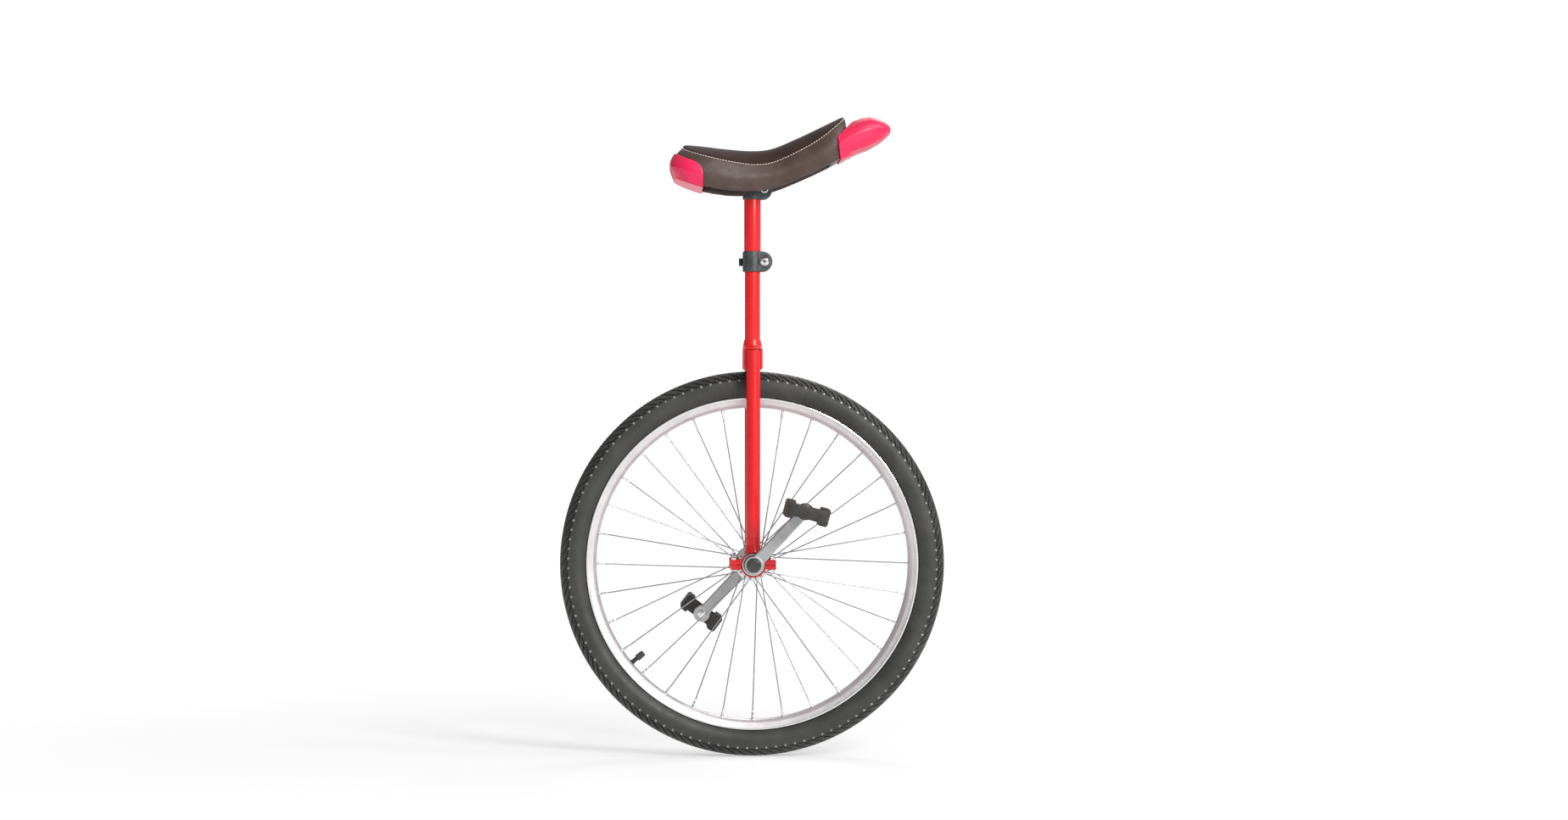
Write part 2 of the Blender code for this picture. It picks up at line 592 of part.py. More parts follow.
def make_pedal(side, label, axis):
    """Two tread bars and a barrel, held by an inner and an outer end plate."""
    length, height = PEDAL_LENGTH / 2, PEDAL_HEIGHT / 2
    inner, outer = side * PEDAL_INNER_FACE, side * PEDAL_OUTER_FACE
    plate = side * 0.007
    body = rod(PEDAL_BARREL_RADIUS, (0, inner, 0), (0, outer, 0), 16)
    for low, high in (sorted((inner, inner + plate)), sorted((outer - plate, outer))):
        join(body, box((-length + 0.005, low, -0.0100), (length - 0.005, high, 0.0100)))
    low, high = sorted((inner + side * 0.0005, outer - side * 0.0005))
    upper = [(length, 0.0105), (length - 0.003, height), (length - 0.011, height), (length - 0.013, 0.0110)]
    bar = upper + [(u, -v) for u, v in reversed(upper)]
    for end in (-1, 1):
        outline = [(end * u, 0, v) for u, v in bar]
        join(body, prism(outline, (0, low, 0), (0, high - low, 0)))
    near, far = sorted((inner - side * 0.001, outer - side * 0.0040))
    cut(body, rod(SPINDLE_RADIUS + 0.0005, (0, near, 0), (0, far, 0), 12))
    centre = pedal_centre(side)
    body.data.transform(Matrix.Translation(centre) @ Matrix.Rotation(-PEDAL_ANGLES[side], 4, "Y"))
    place_piece(body, f"pedal_{label}", "pedal_plastic", axis)


def make_crown(frame):
    """A collar on the stem, and a bridge that ends halfway round each leg."""
    collar = [(0, CROWN_BOTTOM), (CROWN_RADIUS - 0.001, CROWN_BOTTOM),
              (CROWN_RADIUS, CROWN_BOTTOM + 0.001), (CROWN_RADIUS, CROWN_SHOULDER),
              (STEM_RADIUS + 0.0007, CROWN_TOP), (0, CROWN_TOP)]
    crown = turned(collar, (0, 0, 0), (0, 0, 1), 24, closed=False)
    leg_y = BEARING_Y
    half = [(leg_y, CROWN_BOTTOM + 0.003), (leg_y, LEG_TOP + 0.0030),
            (leg_y - 0.012, LEG_TOP + 0.0050), (0.012, CROWN_SHOULDER)]
    outline = half + [(-y, z) for y, z in reversed(half)]
    outline += [(-leg_y + 0.003, CROWN_BOTTOM), (leg_y - 0.003, CROWN_BOTTOM)]
    width = CROWN_RADIUS - 0.0001
    join(crown, prism([(0, y, z) for y, z in outline], (-width, 0, 0), (2 * width, 0, 0)))
    cut(crown, rod(STEM_RADIUS + GAP, (0, 0, CROWN_BOTTOM - 0.01), (0, 0, CROWN_TOP + 0.01), 24))
    for side in (-1, 1):
        y = side * leg_y
        cut(crown, rod(LEG_RADIUS + 0.0006, (0, y, CROWN_BOTTOM - 0.01), (0, y, LEG_TOP + GAP), 20))
    place_piece(crown, "crown", "frame_paint", frame)


def make_stem(frame):
    low = CROWN_BOTTOM + 0.0015
    stem = ring(STEM_BORE, STEM_RADIUS, low, STEM_TOP, (0, 0, 0), (0, 0, 1), 24)
    place_piece(stem, "stem", "frame_paint", frame)


def clamp_casting(z):
    """A collar with two forward ears that meet across a slot; the ears are round, seen from the side."""
    half = CLAMP_HALF_HEIGHT
    collar = [(0, z - half), (CLAMP_RADIUS - 0.0012, z - half), (CLAMP_RADIUS, z - half + 0.0012),
              (CLAMP_RADIUS, z + half - 0.0012), (CLAMP_RADIUS - 0.0012, z + half), (0, z + half)]
    clamp = turned(collar, (0, 0, 0), (0, 0, 1), 24, closed=False)
    ear_centre = 0.0153
    arc = [(ear_centre + half * math.sin(a), 0, z - half * math.cos(a))
           for a in [math.pi * step / 10 for step in range(11)]]
    outline = [(0, 0, z - half)] + arc + [(0, 0, z + half)]
    return join(clamp, prism(outline, (0, -EAR_HALF_WIDTH, 0), (0, 2 * EAR_HALF_WIDTH, 0)))


def cut_clamp_holes(clamp, z, top, bolt_radius):
    """The bore and the slot, both up to a height, and the bolt's hole across the ears."""
    low = z - CLAMP_HALF_HEIGHT - 0.01
    cut(clamp, rod(TUBE_RADIUS + GAP, (0, 0, low), (0, 0, top), 24))
    cut(clamp, box((0.005, -SLOT_HALF_WIDTH, low), (0.05, SLOT_HALF_WIDTH, top)))
    cut(clamp, rod(bolt_radius + 0.0004, (EAR_BOLT_X, -0.02, z), (EAR_BOLT_X, 0.02, z), 10))


def make_saddle_tube(tube_axis):
    """The tube that slides over the stem, slotted where the clamp squeezes it."""
    foot = LOWER_CLAMP_Z - CLAMP_HALF_HEIGHT + 0.0006
    clamp_top = LOWER_CLAMP_Z + CLAMP_HALF_HEIGHT
    tube = ring(TUBE_BORE, TUBE_RADIUS, foot, TUBE_TOP, (0, 0, 0), (0, 0, 1), 24)
    slot = box((0.005, -SLOT_HALF_WIDTH, foot - 0.01), (0.02, SLOT_HALF_WIDTH, clamp_top - 0.002))
    place_piece(cut(tube, slot), "saddle_tube", "frame_paint", tube_axis)
    clamp = clamp_casting(LOWER_CLAMP_Z)
    cut_clamp_holes(clamp, LOWER_CLAMP_Z, clamp_top + 0.01, SKEWER_RADIUS)
    place_piece(clamp, "seat_clamp", "clamp_metal", tube_axis)


def make_skewer(tube_axis):
    """The skewer across the ears, with the lever's pin through its end, and its round nut."""
    x, z = EAR_BOLT_X, LOWER_CLAMP_Z
    reach = LEVER_HALF_HEIGHT + 0.0001
    skewer = rod(SKEWER_RADIUS, (x, -0.0170, z), (x, LEVER_PIVOT_Y, z), 10)
    pin = rod(SKEWER_PIN_RADIUS, (x, LEVER_PIVOT_Y, z - reach), (x, LEVER_PIVOT_Y, z + reach), 10)
    place_piece(join(skewer, pin), "clamp_skewer", "bright_steel", tube_axis)
    face = -EAR_HALF_WIDTH - GAP
    nut = [(0, -0.0178), (0.0038, -0.0178), (0.0066, -0.0160), (0.0075, -0.0135), (0.0075, face), (0, face)]
    nut = turned(nut, (x, 0, z), (0, 1, 0), 16, closed=False)
    cut(nut, rod(SKEWER_RADIUS + 0.0004, (x, -0.0173, z), (x, 0, z), 10))
    place_piece(nut, "skewer_nut", "bright_steel", tube_axis)


def make_lever(lever_axis):
    """A fork round the skewer's pin, with a thumb arm that lies back along the collar."""
    x, y, z = EAR_BOLT_X, LEVER_PIVOT_Y, LOWER_CLAMP_Z
    half = LEVER_HALF_HEIGHT
    lever = rod(0.0072, (x, y, z - half - 0.0001), (x, y, z + half + 0.0001), 20)
    arm = [(x - 0.002, y + 0.0070), (0.000, y + 0.0062), (-0.012, y + 0.0035), (-0.0200, y - 0.0030),
           (-0.0215, y - 0.0080), (-0.0180, y - 0.0085), (-0.0160, y - 0.0045), (-0.010, y - 0.0005),
           (0.000, y + 0.0012), (x - 0.006, y + 0.0010)]
    join(lever, prism([(px, py, 0) for px, py in arm], (0, 0, z - half), (0, 0, 2 * half)))
    slot = SKEWER_RADIUS + 0.0004
    cut(lever, box((x - 0.0062, y - 0.02, z - slot), (x + 0.02, y + 0.0050, z + slot)))
    cut(lever, box((x - 0.0010, y, z - slot), (x + 0.02, y + 0.02, z + slot)))
    cut(lever, rod(SKEWER_PIN_RADIUS + 0.0004, (x, y, z - 0.02), (x, y, z + 0.02), 10))
    place_piece(lever, "qr_lever", "clamp_metal", lever_axis)


def saddle_section(t, grow):
    """One ring of the saddle's outside, from hem over the crown to hem; t runs from rear to front."""
    crown_x, bulge_x, hem_x = [(1 - t) * (rear - grow) + t * (front + grow)
                               for rear, front in zip(SADDLE_REAR, SADDLE_FRONT)]
    rounding = 0.58 + 0.42 * math.sqrt(1.0 - abs(2 * t - 1) ** 9)
    crown_z = smooth(CROWN_LINE, crown_x) + grow
    seam_z = smooth(SEAM_LINE, (crown_x + hem_x) / 2)
    seam_z = crown_z - (crown_z - seam_z) * rounding
    hem_z = smooth(HEM_LINE, hem_x) - grow
    width = smooth(HALF_WIDTH_LINE, crown_x) * rounding + grow
    seam_y = width - 0.009
    hem = (hem_x, width - 0.006, hem_z)
    bulge = (bulge_x, width, 0.55 * hem_z + 0.45 * seam_z)
    below_seam = (0.45 * bulge_x + 0.55 * crown_x, width - 0.005, seam_z - 0.008)
    half = [hem, bulge, below_seam, (crown_x, seam_y, seam_z)]
    for share in (0.75, 0.45):
        height = crown_z - (crown_z - seam_z) * share ** 2.2
        half.append((crown_x, seam_y * share, height))
    left = [Vector(point) for point in half]
    right = [Vector((px, -py, pz)) for px, py, pz in reversed(half)]
    return left + [Vector((crown_x, 0, crown_z))] + right


def saddle_envelope(grow):
    """The saddle's whole outside, made larger all round by a distance."""
    steps = [0, 0.02, 0.06, 0.13, 0.22, 0.32, 0.42, 0.52, 0.62, 0.72, 0.82, 0.9, 0.95, 0.985, 1]
    return loft([saddle_section(t, grow) for t in steps])


def shell_ceiling(x):
    """The height of the padding's underside inside its skirt."""
    return smooth(SEAM_LINE, x) - 0.0060


def saddle_shell(stations, inset, lift, thickness):
    """A plate that follows the underside of the padding, or the hollow below it."""
    rings = []
    for x in stations:
        width = smooth(HALF_WIDTH_LINE, x) - inset
        top = shell_ceiling(x) - lift
        rings.append([(x, -width, top - thickness), (x, -width, top - 0.004), (x, -width + 0.006, top),
                      (x, width - 0.006, top), (x, width, top - 0.004), (x, width, top - thickness)])
    return loft(rings)


def make_cushion(saddle):
    """The padding and its cover: a crowned top with a deep skirt all round a hollow."""
    cushion = saddle_envelope(0.0)
    stations = [-0.108, -0.080, -0.045, -0.010, 0.020, 0.055, 0.090, 0.122]
    cut(cushion, saddle_shell(stations, PADDING_WALL, 0.0, 0.075))
    place_piece(cushion, "cushion", "saddle_cover", saddle, 40)


def make_saddle_base(saddle):
    """A moulded tray under the padding, with a rib down each side."""
    stations = [-0.104, -0.080, -0.045, -0.010, 0.020, 0.055, 0.090, 0.118]
    lift = 0.0005
    base = saddle_shell(stations, BASE_INSET, lift, 2 * BASE_THICKNESS)
    beyond = [stations[0] - 0.004] + stations[1:-1] + [stations[-1] + 0.004]
    rings = []
    for x, cut_x in zip(stations, beyond):
        width = smooth(HALF_WIDTH_LINE, x) - BASE_INSET - BASE_THICKNESS
        top = shell_ceiling(x) - lift - BASE_THICKNESS
        corners = [(-width, top - 0.02), (-width, top), (width, top), (width, top - 0.02)]
        rings.append([(cut_x, y, z) for y, z in corners])
    cut(base, loft(rings))
    place_piece(base, "saddle_base", "base_plastic", saddle)


def bumper_region(points):
    """The space that an outline covers in side view."""
    return prism([(x, 0, z) for x, z in points], (0, -0.15, 0), (0, 0.30, 0))


def make_rear_bumper(saddle):
    """A shell round the saddle's rear end, with a lip under its hem."""
    bumper = saddle_envelope(BUMPER_THICKNESS)
    region = bumper_region([(-0.15, 0.87), (-0.0795, 0.87), (-0.0784, 0.912), (-0.0810, 0.920),
                            (-0.0880, 0.9262), (-0.110, 0.9362), (-0.127, 0.9458), (-0.15, 0.953)])
    common(bumper, region)
    cut(bumper, saddle_envelope(BUMPER_GAP))
    cut(bumper, saddle_shell([-0.108, -0.080, -0.045], PADDING_WALL + 0.004, 0.0, 0.075))
    place_piece(bumper, "rear_bumper", "bumper_plastic", saddle, 40)


def make_front_bumper(saddle):
    """A sleeve round the saddle's front end, which runs on into a solid nose."""
    rings = []
    for x, low, high, width in NOSE_SECTIONS:
        half = [(0.55, 0.0), (0.90, 0.18), (1.0, 0.62), (0.86, 0.84), (0.45, 1.0)]
        left = [(x, width * across, low + up * (high - low)) for across, up in half]
        rings.append(left + [(x, -y, z) for x, y, z in reversed(left)])
    bumper = saddle_envelope(BUMPER_THICKNESS)
    join(bumper, loft(rings))
    region = bumper_region([(0.1410, 0.90), (0.1366, 0.9326), (0.1309, 0.9687), (0.1560, 0.9960),
                            (0.1700, 1.03), (0.25, 1.03), (0.25, 0.90)])
    common(bumper, region)
    cut(bumper, saddle_envelope(BUMPER_GAP))
    place_piece(bumper, "front_bumper", "bumper_plastic", saddle, 40)


def make_saddle_clamp(saddle):
    """The same casting as the lower clamp, closed on top by the pad that carries the saddle."""
    z = UPPER_CLAMP_Z
    clamp = clamp_casting(z)
    pad_low = z + CLAMP_HALF_HEIGHT - 0.0005
    pad_high = shell_ceiling(0.0) - 2 * BASE_THICKNESS - 0.0005 - GAP
    front = [(0.026, -0.020), (0.030, -0.016), (0.030, 0.016), (0.026, 0.020)]
    pad = front + [(-px, -py) for px, py in front]
    join(clamp, prism([(px, py, 0) for px, py in pad], (0, 0, pad_low), (0, 0, pad_high - pad_low)))
    cut_clamp_holes(clamp, z, z + CLAMP_HALF_HEIGHT, SADDLE_BOLT_RADIUS)
    place_piece(clamp, "saddle_clamp", "clamp_metal", saddle)
    face = EAR_HALF_WIDTH + GAP
    shank = SADDLE_BOLT_RADIUS
    bolt = [(0, -0.0155), (0.0056, -0.0155), (0.0064, -0.0146), (0.0064, -face),
            (shank, -face), (shank, 0.0165), (0, 0.0165)]
    bolt = turned(bolt, (EAR_BOLT_X, 0, z), (0, 1, 0), 16, closed=False)
    place_piece(bolt, "saddle_clamp_bolt", "bright_steel", saddle)
    nut = ring(shank + 0.0004, 0.0058, face, face + 0.0050, (EAR_BOLT_X, 0, z), (0, 1, 0), 12)
    place_piece(nut, "saddle_clamp_nut", "bright_steel", saddle)


def build():
    clear_scene()
    frame = make_axis("frame_axis", (0, 0, 0))
    wheel = make_axis("wheel_axis", HUB, frame)
    tube_axis = make_axis("saddle_tube_axis", (0, 0, LOWER_CLAMP_Z), frame)
    lever_axis = make_axis("lever_axis", (EAR_BOLT_X, LEVER_PIVOT_Y, LOWER_CLAMP_Z), tube_axis)
    saddle = make_axis("saddle_axis", (0, 0, UPPER_CLAMP_Z), tube_axis)
    make_tyre(wheel)
    make_inner_tube(wheel)
    make_rim(wheel)
    make_rim_strip(wheel)
    make_valve(wheel)
    make_hub(wheel)
    make_axle(wheel)
    make_spoke_pairs(wheel)
    for side, label in ((-1, "right"), (1, "left")):
        make_bearing(side, label, frame, wheel)
        make_leg(side, label, frame)
        make_bearing_cap(side, label, frame)
        make_cap_bolts(side, label, frame)
        make_crank(side, label, wheel)
        make_crank_fasteners(side, label, wheel)
        make_pedal_spindle(side, label, wheel)
        middle = Vector((0, side * (PEDAL_INNER_FACE + PEDAL_OUTER_FACE) / 2, 0))
        pedal_axis = make_axis(f"pedal_axis_{label}", pedal_centre(side) + middle, wheel)
        make_pedal(side, label, pedal_axis)
    make_crown(frame)
    make_stem(frame)
    make_saddle_tube(tube_axis)
    make_skewer(tube_axis)
    make_lever(lever_axis)
    make_cushion(saddle)
    make_saddle_base(saddle)
    make_rear_bumper(saddle)
    make_front_bumper(saddle)
    make_saddle_clamp(saddle)


build()
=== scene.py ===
"""The looks of a 24-inch unicycle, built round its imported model.

Metres. +X is forward, +Z is up, and the rider's right side is -Y. Side is -1 for the
right and +1 for the left. Angles in the wheel run from +X towards +Z.
"""
import json
import math

import bmesh
import bpy
from mathutils import Matrix, Vector
from mathutils.bvhtree import BVHTree


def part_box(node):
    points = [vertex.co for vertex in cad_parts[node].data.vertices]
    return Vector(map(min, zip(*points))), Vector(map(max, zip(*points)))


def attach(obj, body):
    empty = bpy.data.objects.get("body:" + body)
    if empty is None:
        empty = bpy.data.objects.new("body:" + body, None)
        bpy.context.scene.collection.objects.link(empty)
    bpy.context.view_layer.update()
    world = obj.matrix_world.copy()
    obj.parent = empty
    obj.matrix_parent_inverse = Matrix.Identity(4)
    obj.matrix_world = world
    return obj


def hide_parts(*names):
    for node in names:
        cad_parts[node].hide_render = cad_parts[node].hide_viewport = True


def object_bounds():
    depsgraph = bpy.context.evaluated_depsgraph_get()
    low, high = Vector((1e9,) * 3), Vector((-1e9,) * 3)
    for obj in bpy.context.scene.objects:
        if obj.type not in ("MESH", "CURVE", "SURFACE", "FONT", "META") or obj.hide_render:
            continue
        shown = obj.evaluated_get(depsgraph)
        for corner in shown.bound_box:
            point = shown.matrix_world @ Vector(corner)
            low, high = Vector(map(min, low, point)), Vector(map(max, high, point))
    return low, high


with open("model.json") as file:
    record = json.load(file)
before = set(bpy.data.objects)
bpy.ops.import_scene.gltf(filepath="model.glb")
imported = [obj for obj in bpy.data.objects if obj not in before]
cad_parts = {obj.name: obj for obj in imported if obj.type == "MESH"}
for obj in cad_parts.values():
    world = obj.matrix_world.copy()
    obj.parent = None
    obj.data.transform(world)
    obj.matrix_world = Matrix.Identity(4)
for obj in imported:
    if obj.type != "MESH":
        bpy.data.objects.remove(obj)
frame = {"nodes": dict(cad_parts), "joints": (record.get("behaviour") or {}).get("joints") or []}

CAD_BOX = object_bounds()
JOINTS = {joint["name"]: joint for joint in frame["joints"]}
SIDES = ((-1, "right"), (1, "left"))
Y_AXIS = Vector((0, 1, 0))
Z_AXIS = Vector((0, 0, 1))


def half_size(node, axis):
    low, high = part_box(node)
    return (high[axis] - low[axis]) / 2


def middle(node):
    low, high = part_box(node)
    return (low + high) / 2


# Wheel
HUB = Vector(JOINTS["wheel_spin"]["pos_m"])
WHEEL_RADIUS = half_size("tyre", 0)
TYRE_HALF_WIDTH = half_size("tyre", 1)
CASING_CENTRE = 0.2795
SQUARENESS = 0.92
TREAD_DEPTH = 0.0017
TREAD_PITCHES = 240
TREAD_SLANT = math.radians(4.6)
BEAD_TOP = (0.2616, 0.0119)
RIM_RADIUS = 0.261
RIM_INNER_RADIUS = 0.2445
RIM_LIP_RADIUS = 0.2577
RIM_HALF_WIDTH = half_size("rim", 1)
SPOKE_PITCH = math.radians(11.25)
SPOKE_RADIUS = 0.001
SPOKE_CIRCLE = 0.0225
FLANGE_Y = 0.03
FLANGE_THICKNESS = 0.003
FLANGE_RADIUS = 0.027
NIPPLE_LENGTH = 0.0135
VALVE_ANGLE = -12.5 * SPOKE_PITCH

# Bearings and their holders
BEARING_Y = middle("bearing_outer_left").y
BEARING_RADIUS = 0.0175
BEARING_HALF_WIDTH = half_size("bearing_outer_left", 1)
HOLDER_RADIUS = 0.02
HOLDER_HALF_WIDTH = half_size("bearing_cap_left", 1)
LUG_REACH = half_size("bearing_cap_left", 0)
LUG_THICKNESS = 0.0073
CAP_BOLT_X = middle("cap_bolt_left_front").x

# Cranks and pedals
CRANK_ANGLE = math.radians(46.5)
CRANK_LENGTH = 0.115
CRANK_INNER_Y = 0.0655
CRANK_OUTER_Y = 0.08
PEDAL_TILTS = {-1: math.radians(-14.5), 1: math.radians(-37.0)}
PEDAL_INNER_Y = 0.085
PEDAL_OUTER_Y = CAD_BOX[1].y
PEDAL_HALF_LENGTH = 0.034
PEDAL_HALF_HEIGHT = 0.014

# Frame
STEM_RADIUS = half_size("stem", 0)
LEG_RADIUS = 0.0109
LEG_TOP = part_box("leg_left")[1].z
CROWN_BOTTOM, CROWN_TOP = (corner.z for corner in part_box("crown"))
CROWN_RADIUS = half_size("crown", 0)
CROWN_SHOULDER = CROWN_TOP - 0.0107

# Saddle tube and clamps
TUBE_RADIUS = half_size("saddle_tube", 0)
CLAMP_RADIUS = 0.0154
CLAMP_HALF_HEIGHT = 0.0161
LOWER_CLAMP_Z = middle("seat_clamp").z
UPPER_CLAMP_Z = middle("saddle_clamp_bolt").z
EAR_HALF_WIDTH = 0.0112
EAR_X = 0.0153
EAR_BOLT_X, LEVER_Y, _ = JOINTS["lever_open"]["pos_m"]

# Saddle: (x, value) points for smooth curves, from rear to front
CROWN_LINE = [(-0.13, 0.961), (-0.085, 0.9577), (-0.04, 0.9528), (0.0, 0.9505),
              (0.03, 0.954), (0.07, 0.9705), (0.11, 0.9895), (0.15, 1.009)]
SEAM_LINE = [(-0.13, 0.952), (-0.085, 0.9405), (-0.04, 0.9313), (0.0, 0.9268),
             (0.03, 0.9305), (0.07, 0.9475), (0.11, 0.97), (0.15, 1.002)]
HEM_LINE = [(-0.13, 0.9085), (-0.085, 0.8925), (-0.045, 0.885), (-0.01, 0.883),
            (0.03, 0.888), (0.075, 0.9055), (0.115, 0.924), (0.15, 0.9435)]
HALF_WIDTH_LINE = [(-0.13, 0.064), (-0.085, 0.072), (-0.04, 0.069), (0.0, 0.059),
                   (0.04, 0.053), (0.08, 0.0525), (0.12, 0.054), (0.15, 0.054)]
# The x of the saddle's crown, of its bulge and of its hem, at its rear end and at its front end
SADDLE_REAR = (-0.1095, -0.1275, -0.12)
SADDLE_FRONT = (0.1434, 0.1478, 0.152)
SEAM_INSET = 0.009
BUMPER_THICKNESS = 0.0028
GAP = 0.0003


# ---- shape tools


def rounded(points, radius, closed=True, steps=4):
    """Round a polygon's corners. A point's third number is its own radius."""
    outline = []
    for index, corner in enumerate(points):
        here = Vector(corner[:2])
        size = corner[2] if len(corner) > 2 else radius
        end_point = not closed and index in (0, len(points) - 1)
        if size == 0 or end_point:
            outline.append(here)
            continue
        before = Vector(points[index - 1][:2]) - here
        after = Vector(points[(index + 1) % len(points)][:2]) - here
        start = here + before.normalized() * min(size, 0.49 * before.length)
        end = here + after.normalized() * min(size, 0.49 * after.length)
        for step in range(steps + 1):
            t = step / steps
            outline.append((1 - t) ** 2 * start + 2 * t * (1 - t) * here + t * t * end)
    return outline


def rectangle(x0, y0, x1, y1):
    return [(x0, y0), (x1, y0), (x1, y1), (x0, y1)]


def arc(radius, start, end, steps):
    angles = [start + (end - start) * step / steps for step in range(steps + 1)]
    return [Vector((radius * math.cos(angle), radius * math.sin(angle))) for angle in angles]


def polygon(count, radius, turn=0.0):
    return arc(radius, turn, turn + math.tau, count)[:-1]


def gear(teeth, outer, inner):
    """A knurled outline."""
    steps = ((-0.22, outer), (0.22, outer), (0.5, inner))
    turns = [(math.tau * (tooth + step) / teeth, radius) for tooth in range(teeth) for step, radius in steps]
    return [(radius * math.cos(angle), radius * math.sin(angle)) for angle, radius in turns]


def mesh_of(bm):
    bmesh.ops.recalc_face_normals(bm, faces=bm.faces)
    mesh = bpy.data.meshes.new("shape")
    bm.to_mesh(mesh)
    bm.free()
    return mesh


def merged(*meshes):
    """Several meshes as one."""
    bm = bmesh.new()
    for mesh in meshes:
        bm.from_mesh(mesh)
    mesh = bpy.data.meshes.new("shape")
    bm.to_mesh(mesh)
    bm.free()
    return mesh


def moved(mesh, matrix):
    copy = mesh.copy()
    copy.transform(matrix)
    if matrix.is_negative:
        copy.flip_normals()
    return copy


def skin(bm, rings, ends=True):
    """Faces between neighbouring rings of vertices, and over the first and the last of them."""
    for first, second in zip(rings, rings[1:]):
        for index in range(len(first)):
            following = (index + 1) % len(first)
            bm.faces.new((first[index], first[following], second[following], second[index]))
    if ends:
        bm.faces.new(rings[0])
        bm.faces.new(rings[-1])


def skinned(rings, triangles=False):
    """A closed solid through rings of points."""
    bm = bmesh.new()
    skin(bm, [[bm.verts.new(point) for point in ring] for ring in rings])
    if triangles:
        bmesh.ops.triangulate(bm, faces=bm.faces)
    return mesh_of(bm)


def lathe(profile, centre, axis, segments=64, closed=False):
    """Turn (radius, height) points about an axis through a centre."""
    bm = bmesh.new()
    stand = Z_AXIS.rotation_difference(Vector(axis))
    rings = []
    for radius, height in profile:
        count = segments if radius > 1e-7 else 1
        angles = [math.tau * step / segments for step in range(count)]
        places = [Vector((radius * math.cos(a), radius * math.sin(a), height)) for a in angles]
        rings.append([bm.verts.new(Vector(centre) + stand @ place) for place in places])
    pairs = list(zip(rings, rings[1:]))
    if closed:
        pairs.append((rings[-1], rings[0]))
    for first, second in pairs:
        if len(first) == len(second) == 1:
            continue
        for step in range(segments):
            following = (step + 1) % segments
            corners = [first[step % len(first)], first[following % len(first)],
                       second[following % len(second)], second[step % len(second)]]
            bm.faces.new(list(dict.fromkeys(corners)))
    return mesh_of(bm)


def spun(profile, edge, centre, axis, segments=64, steps=4):
    """A solid turned from a profile whose corners are rounded."""
    return lathe(rounded(profile, edge, closed=False, steps=steps), centre, axis, segments)


def ring(inner, outer, low, high, centre=(0, 0, 0), axis=Z_AXIS, edge=0.0004, segments=80):
    """A ring or a pipe between two heights along its axis."""
    return lathe(rounded(rectangle(inner, low, outer, high), edge), centre, axis, segments, closed=True)


def slab(outline, place, depth, edge, steps=3):
    """An outline in its own XY plane, extruded along its Z, with rounded edges."""
    corners = [Vector(point[:2]) for point in outline]
    if sum(a.cross(b) for a, b in zip(corners, corners[1:] + corners[:1])) < 0:
        corners.reverse()
    outward = []
    for before, here, after in zip(corners[-1:] + corners, corners, corners[1:] + corners[:1]):
        first, second = (here - before).normalized(), (after - here).normalized()
        normal_a, normal_b = Vector((first.y, -first.x)), Vector((second.y, -second.x))
        outward.append((normal_a + normal_b) / max(1.0 + normal_a.dot(normal_b), 0.4))
    quarter = [math.pi / 2 * step / steps for step in range(steps + 1)]
    levels = [(edge * (1 - math.sin(a)), edge * (1 - math.cos(a))) for a in quarter]
    levels += [(inset, depth - height) for inset, height in reversed(levels)]
    rings = []
    for inset, height in levels:
        spots = [here - inset * normal for here, normal in zip(corners, outward)]
        rings.append([place @ Vector((spot.x, spot.y, height)) for spot in spots])
    return skinned(rings)


def facing_side(x=0.0, y=0.0, z=0.0, turn=0.0):
    """A place whose own X stays X, whose Y is up and whose Z points at -Y; turn is about that Z."""
    return (Matrix.Translation((x, y, z)) @ Matrix.Rotation(math.pi / 2, 4, "X")
            @ Matrix.Rotation(turn, 4, "Z"))


def flat_at(x=0.0, y=0.0, z=0.0):
    return Matrix.Translation((x, y, z))


def box(low, high):
    bm = bmesh.new()
    bmesh.ops.create_cube(bm, size=1.0)
    low, high = Vector(low), Vector(high)
    size = Matrix.Diagonal((*(high - low), 1.0))
    bmesh.ops.transform(bm, matrix=Matrix.Translation((low + high) / 2) @ size, verts=bm.verts)
    return mesh_of(bm)


def rod(radius, start, end, segments=32, edge=0.0):
    start, end = Vector(start), Vector(end)
    length = (end - start).length
    return spun([(0, 0), (radius, 0), (radius, length), (0, length)], edge, start, end - start, segments)


def bar(stations, sides=8):
    """A round bar through (point, radius) stations."""
    points = [Vector(point) for point, _ in stations]
    tangents = [(after - before).normalized()
                for before, after in zip(points[:1] + points, points[1:] + points[-1:])]
    side = tangents[0].orthogonal().normalized()
    rings = []
    for point, (_, radius), tangent in zip(points, stations, tangents):
        side = (side - side.dot(tangent) * tangent).normalized()
        across = tangent.cross(side)
        rings.append([point + x * side + y * across for x, y in polygon(sides, radius)])
    return skinned(rings)


def evaluated(obj):
    """The mesh that an object's modifiers make; the object goes."""
    graph = bpy.context.evaluated_depsgraph_get()
    mesh = bpy.data.meshes.new_from_object(obj.evaluated_get(graph))
    bpy.data.objects.remove(obj, do_unlink=True)
    return mesh


def temporary(mesh):
    obj = bpy.data.objects.new("temporary", mesh)
    bpy.context.scene.collection.objects.link(obj)
    return obj


def melted(meshes, voxel, smoothing=4, keep=0.4):
    """Melt solids into one casting, whose edges and joints come out as small fillets."""
    obj = temporary(merged(*meshes))
    remesh = obj.modifiers.new("melt", "REMESH")
    remesh.mode = "VOXEL"
    remesh.voxel_size = voxel
    soften = obj.modifiers.new("soften", "SMOOTH")
    soften.factor = 0.5
    soften.iterations = smoothing
    if keep < 1:
        obj.modifiers.new("thin", "DECIMATE").ratio = keep
    return evaluated(obj)


